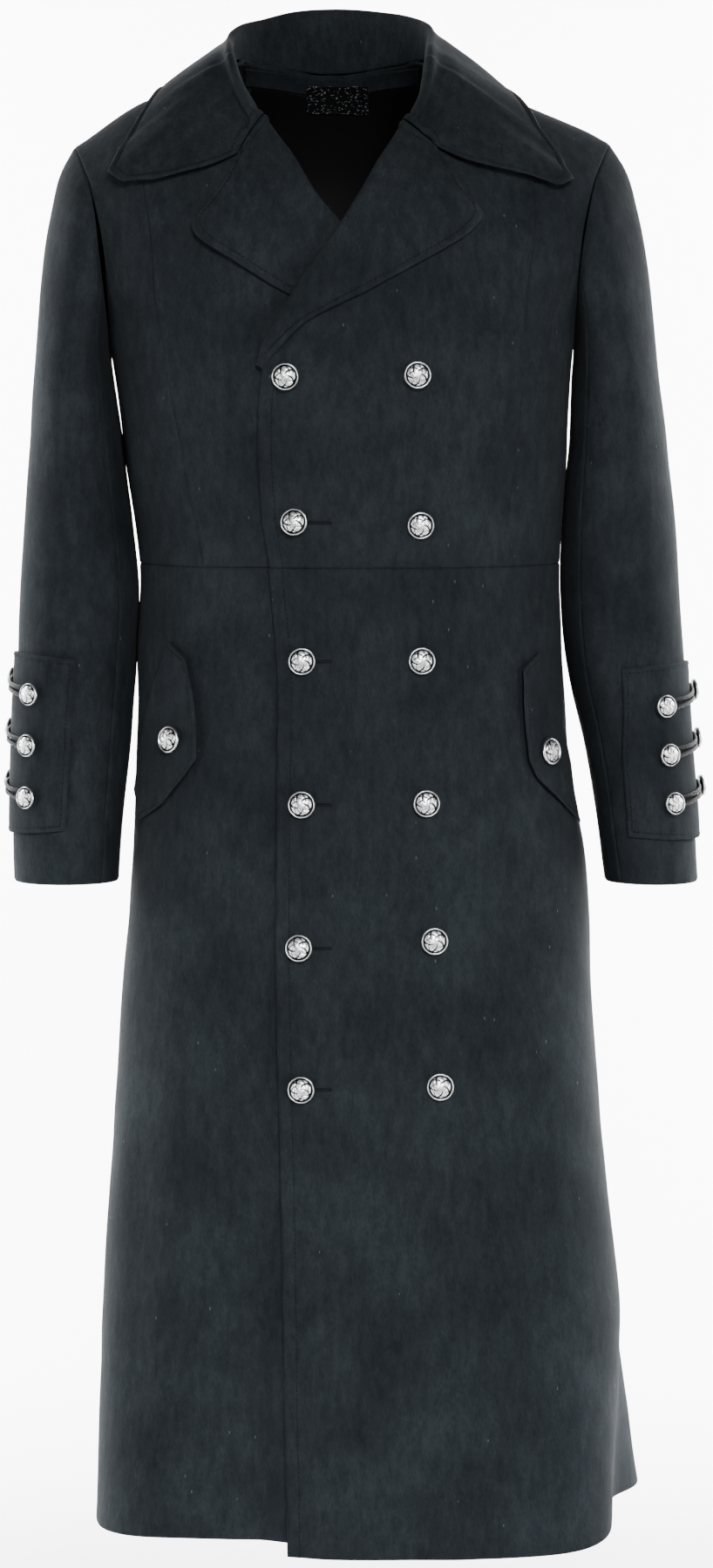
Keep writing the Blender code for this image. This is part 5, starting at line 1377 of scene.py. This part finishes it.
# One small capsule per stitch: a middle ring, two narrower ones and a point at each end,
# turned along the line and flattened onto the cloth
def stitchRow(line, up, clearStart, clearEnd, topZ):
    travelled = lengthsAlong(line)
    at = np.arange(clearStart + stitch["pitch"] / 2, travelled[-1] - clearEnd, stitch["pitch"])
    place, above, ahead = (np.stack([np.interp(at, travelled, values[:, i]) for i in range(3)], axis=-1)
                           for values in (line, up, np.gradient(line, axis=0)))
    kept = place[:, 2] < topZ
    place, above, ahead = place[kept], unit(above[kept]), unit(ahead[kept])
    aside = unit(np.cross(above, ahead))
    turn = np.linspace(0, 2 * math.pi, stitch["sides"], endpoint=False)
    rings = [(share * stitch["long"], width * stitch["radius"]) for share, width in stitch["rings"]]
    local = [[-0.5 * stitch["long"], 0.0, 0.0]]
    local += [[along, wide * math.cos(t), stitch["flatness"] * wide * math.sin(t)] for along, wide in rings
              for t in turn]
    local = np.array(local + [[0.5 * stitch["long"], 0.0, 0.0]])
    frames = np.stack([ahead, aside, above], axis=1)
    points = np.einsum("vk,skc->svc", local, frames) + (place + above * stitch["out"])[:, None]
    count = stitch["sides"]
    ring = 1 + np.arange(count)
    after = np.roll(ring, -1)
    quads = np.stack([ring, after, after + count, ring + count], axis=-1)
    quads = np.concatenate([quads, quads + count])
    tip = np.stack([np.zeros(count, int), after, ring], axis=-1)
    tail = np.stack([np.full(count, len(local) - 1), ring + 2 * count, after + 2 * count], axis=-1)
    return points, quads, np.concatenate([tip, tail])


def addStitches(name, rows):  # all rows of one piece in one mesh
    points, quads, tips, start = [], [], [], 0
    for rowPoints, rowQuads, rowTips in rows:
        offsets = start + np.arange(len(rowPoints))[:, None, None] * rowPoints.shape[1]
        points.append(rowPoints.reshape(-1, 3))
        quads.append((rowQuads[None] + offsets).reshape(-1, 4))
        tips.append((rowTips[None] + offsets).reshape(-1, 3))
        start += rowPoints.shape[0] * rowPoints.shape[1]
    faces = np.concatenate(quads).tolist() + np.concatenate(tips).tolist()
    addPiece(name, smoothMesh(name, np.concatenate(points), faces), threadMaterial, [])


for name in dict.fromkeys(line[0] for line in stitchLines):
    rows = []
    for _, edge, clearStart, clearEnd, topZ in (line for line in stitchLines if line[0] == name):
        kind = clothLook[edgeKinds[name.split("_")[0]][edge]]
        rows.append(stitchRow(*lineInside(clothPieces[name], edge, kind["stitch"]), clearStart, clearEnd, topZ))
    addStitches(f"topstitch_{name}", rows)


# A buttonhole: a closed bar of whipped thread round its slit, four-sided in section
def addButtonhole(index, z):
    hole = stitch["holes"]
    x0, x1 = hole["x"]
    run = np.linspace(0.0, 1.0, 8)
    bow = np.radians((-50, 0, 50))
    half = hole["halfGap"]
    x = np.concatenate([x0 + (x1 - x0) * run, x1 + half * np.cos(bow),
                        x1 - (x1 - x0) * run, x0 - half * np.cos(bow)])
    rise = np.concatenate([-np.ones(8), np.sin(bow), np.ones(8), -np.sin(bow)]) * half
    path, up = frontPlace(x, np.full(x.shape, float(z)))
    path = path + np.array([0.0, 0.0, 1.0]) * rise[:, None]
    ahead = unit(np.roll(path, -1, axis=0) - np.roll(path, 1, axis=0))
    aside = unit(np.cross(up, ahead))
    turn = (np.arange(hole["sides"]) + 0.5) / hole["sides"] * 2 * math.pi
    ring = path[:, None] + hole["radius"] * (aside[:, None] * np.cos(turn)[None, :, None]
                                             + hole["flatness"] * up[:, None] * np.sin(turn)[None, :, None])
    faces = closedTubeFaces(np.arange(ring.shape[0] * ring.shape[1]).reshape(ring.shape[:2])).tolist()
    mesh = smoothMesh(f"buttonhole_{index}", ring.reshape(-1, 3), faces)
    addPiece(f"buttonhole_{index}", mesh, threadMaterial, [])


for index, z in enumerate(stitch["holes"]["z"], 2):
    addButtonhole(index, z)
print("stitches made")


# Camera, backdrop and light

camera = {"target": (0.0129, 0.0, -0.6205), "distance": 4.9, "elevation": 4.5, "lens": 128.94, "sensor": 36.0}
studio = {
    "wallY": 2.6, "floorZ": -1.36, "reach": 7.0, "bend": 1.4, "wallHeight": 6.0,
    "white": "#fafafa", "world": 0.1, "roughness": 0.9, "specular": 0.1,
    # each lamp's place, what it points at, its size in metres, its watts and its spread in degrees
    "lamps": {
        "left_softbox": ((-2.7, -2.1, -0.7), (0, 0, -0.75), 1.4, 7.5, 70),
        "right_softbox": ((2.7, -2.1, -0.7), (0, 0, -0.75), 1.4, 7.5, 70),
        "front_softbox": ((0.7, -4.8, 1.4), (0.03, 0, -0.9), 1.3, 23, 46),
        "wall_wash_left": ((-1.7, 0.9, 0.2), (-0.4, 2.6, -0.6), 1.6, 420, 180),
        "wall_wash_right": ((1.7, 0.9, 0.2), (0.4, 2.6, -0.6), 1.6, 420, 180),
    },
}


def addCamera():
    data = bpy.data.cameras.new("photo_camera")
    data.lens, data.sensor_width = camera["lens"], camera["sensor"]
    eye = bpy.data.objects.new("photo_camera", data)
    tilt = math.radians(camera["elevation"])
    target = Vector(camera["target"])
    eye.location = target + Vector((0.0, -math.cos(tilt), math.sin(tilt))) * camera["distance"]
    eye.rotation_euler = (target - eye.location).to_track_quat("-Z", "Y").to_euler()
    bpy.context.scene.collection.objects.link(eye)
    bpy.context.scene.camera = eye


def addBackdrop():  # a floor that curves up into a wall behind
    bend = np.linspace(0.0, math.pi / 2, 17)
    y = np.concatenate([[-studio["reach"]], studio["wallY"] - studio["bend"] + studio["bend"] * np.sin(bend),
                        [studio["wallY"]]])
    z = np.concatenate([[0.0], studio["bend"] * (1 - np.cos(bend)), [studio["wallHeight"]]]) + studio["floorZ"]
    x = np.array((-studio["reach"], studio["reach"]))
    points = np.stack([np.repeat(x[None, :], len(y), axis=0), np.repeat(y[:, None], 2, axis=1),
                       np.repeat(z[:, None], 2, axis=1)], axis=-1).reshape(-1, 3)
    mesh = smoothMesh("backdrop", points / mm, gridFaces(np.arange(len(points)).reshape(-1, 2)).tolist())
    material, tree, shader = startMaterial("backdrop_paper")
    fillNode(tree, shader, {"Base Color": linear(studio["white"]), "Roughness": studio["roughness"],
                            "Specular IOR Level": studio["specular"]})
    # its back is clear, so that a camera behind it sees the coat
    fromBehind = addNode(tree, "NewGeometry").outputs["Backfacing"]
    clear = addNode(tree, "BsdfTransparent").outputs["BSDF"]
    mixed = addNode(tree, "MixShader", {0: fromBehind, 1: shader.outputs["BSDF"], 2: clear}).outputs["Shader"]
    tree.links.new(mixed, tree.nodes["Material Output"].inputs["Surface"])
    mesh.materials.append(material)
    backdrop = bpy.data.objects.new("backdrop", mesh)
    bpy.context.scene.collection.objects.link(backdrop)


def addLight(name, place, target, size, power, spread):
    data = bpy.data.lights.new(name, "AREA")
    data.shape, data.size, data.energy, data.spread = "SQUARE", size, power, math.radians(spread)
    lamp = bpy.data.objects.new(name, data)
    lamp.location = place
    lamp.rotation_euler = (Vector(target) - Vector(place)).to_track_quat("-Z", "Y").to_euler()
    bpy.context.scene.collection.objects.link(lamp)


addCamera()
addBackdrop()
for name, lamp in studio["lamps"].items():
    addLight(name, *lamp)
world = bpy.data.worlds.new("studio_world")
world.use_nodes = True
fillNode(world.node_tree, world.node_tree.nodes["Background"],
         {"Color": linear(studio["white"]), "Strength": studio["world"]})
bpy.context.scene.world = world

print("scene made")
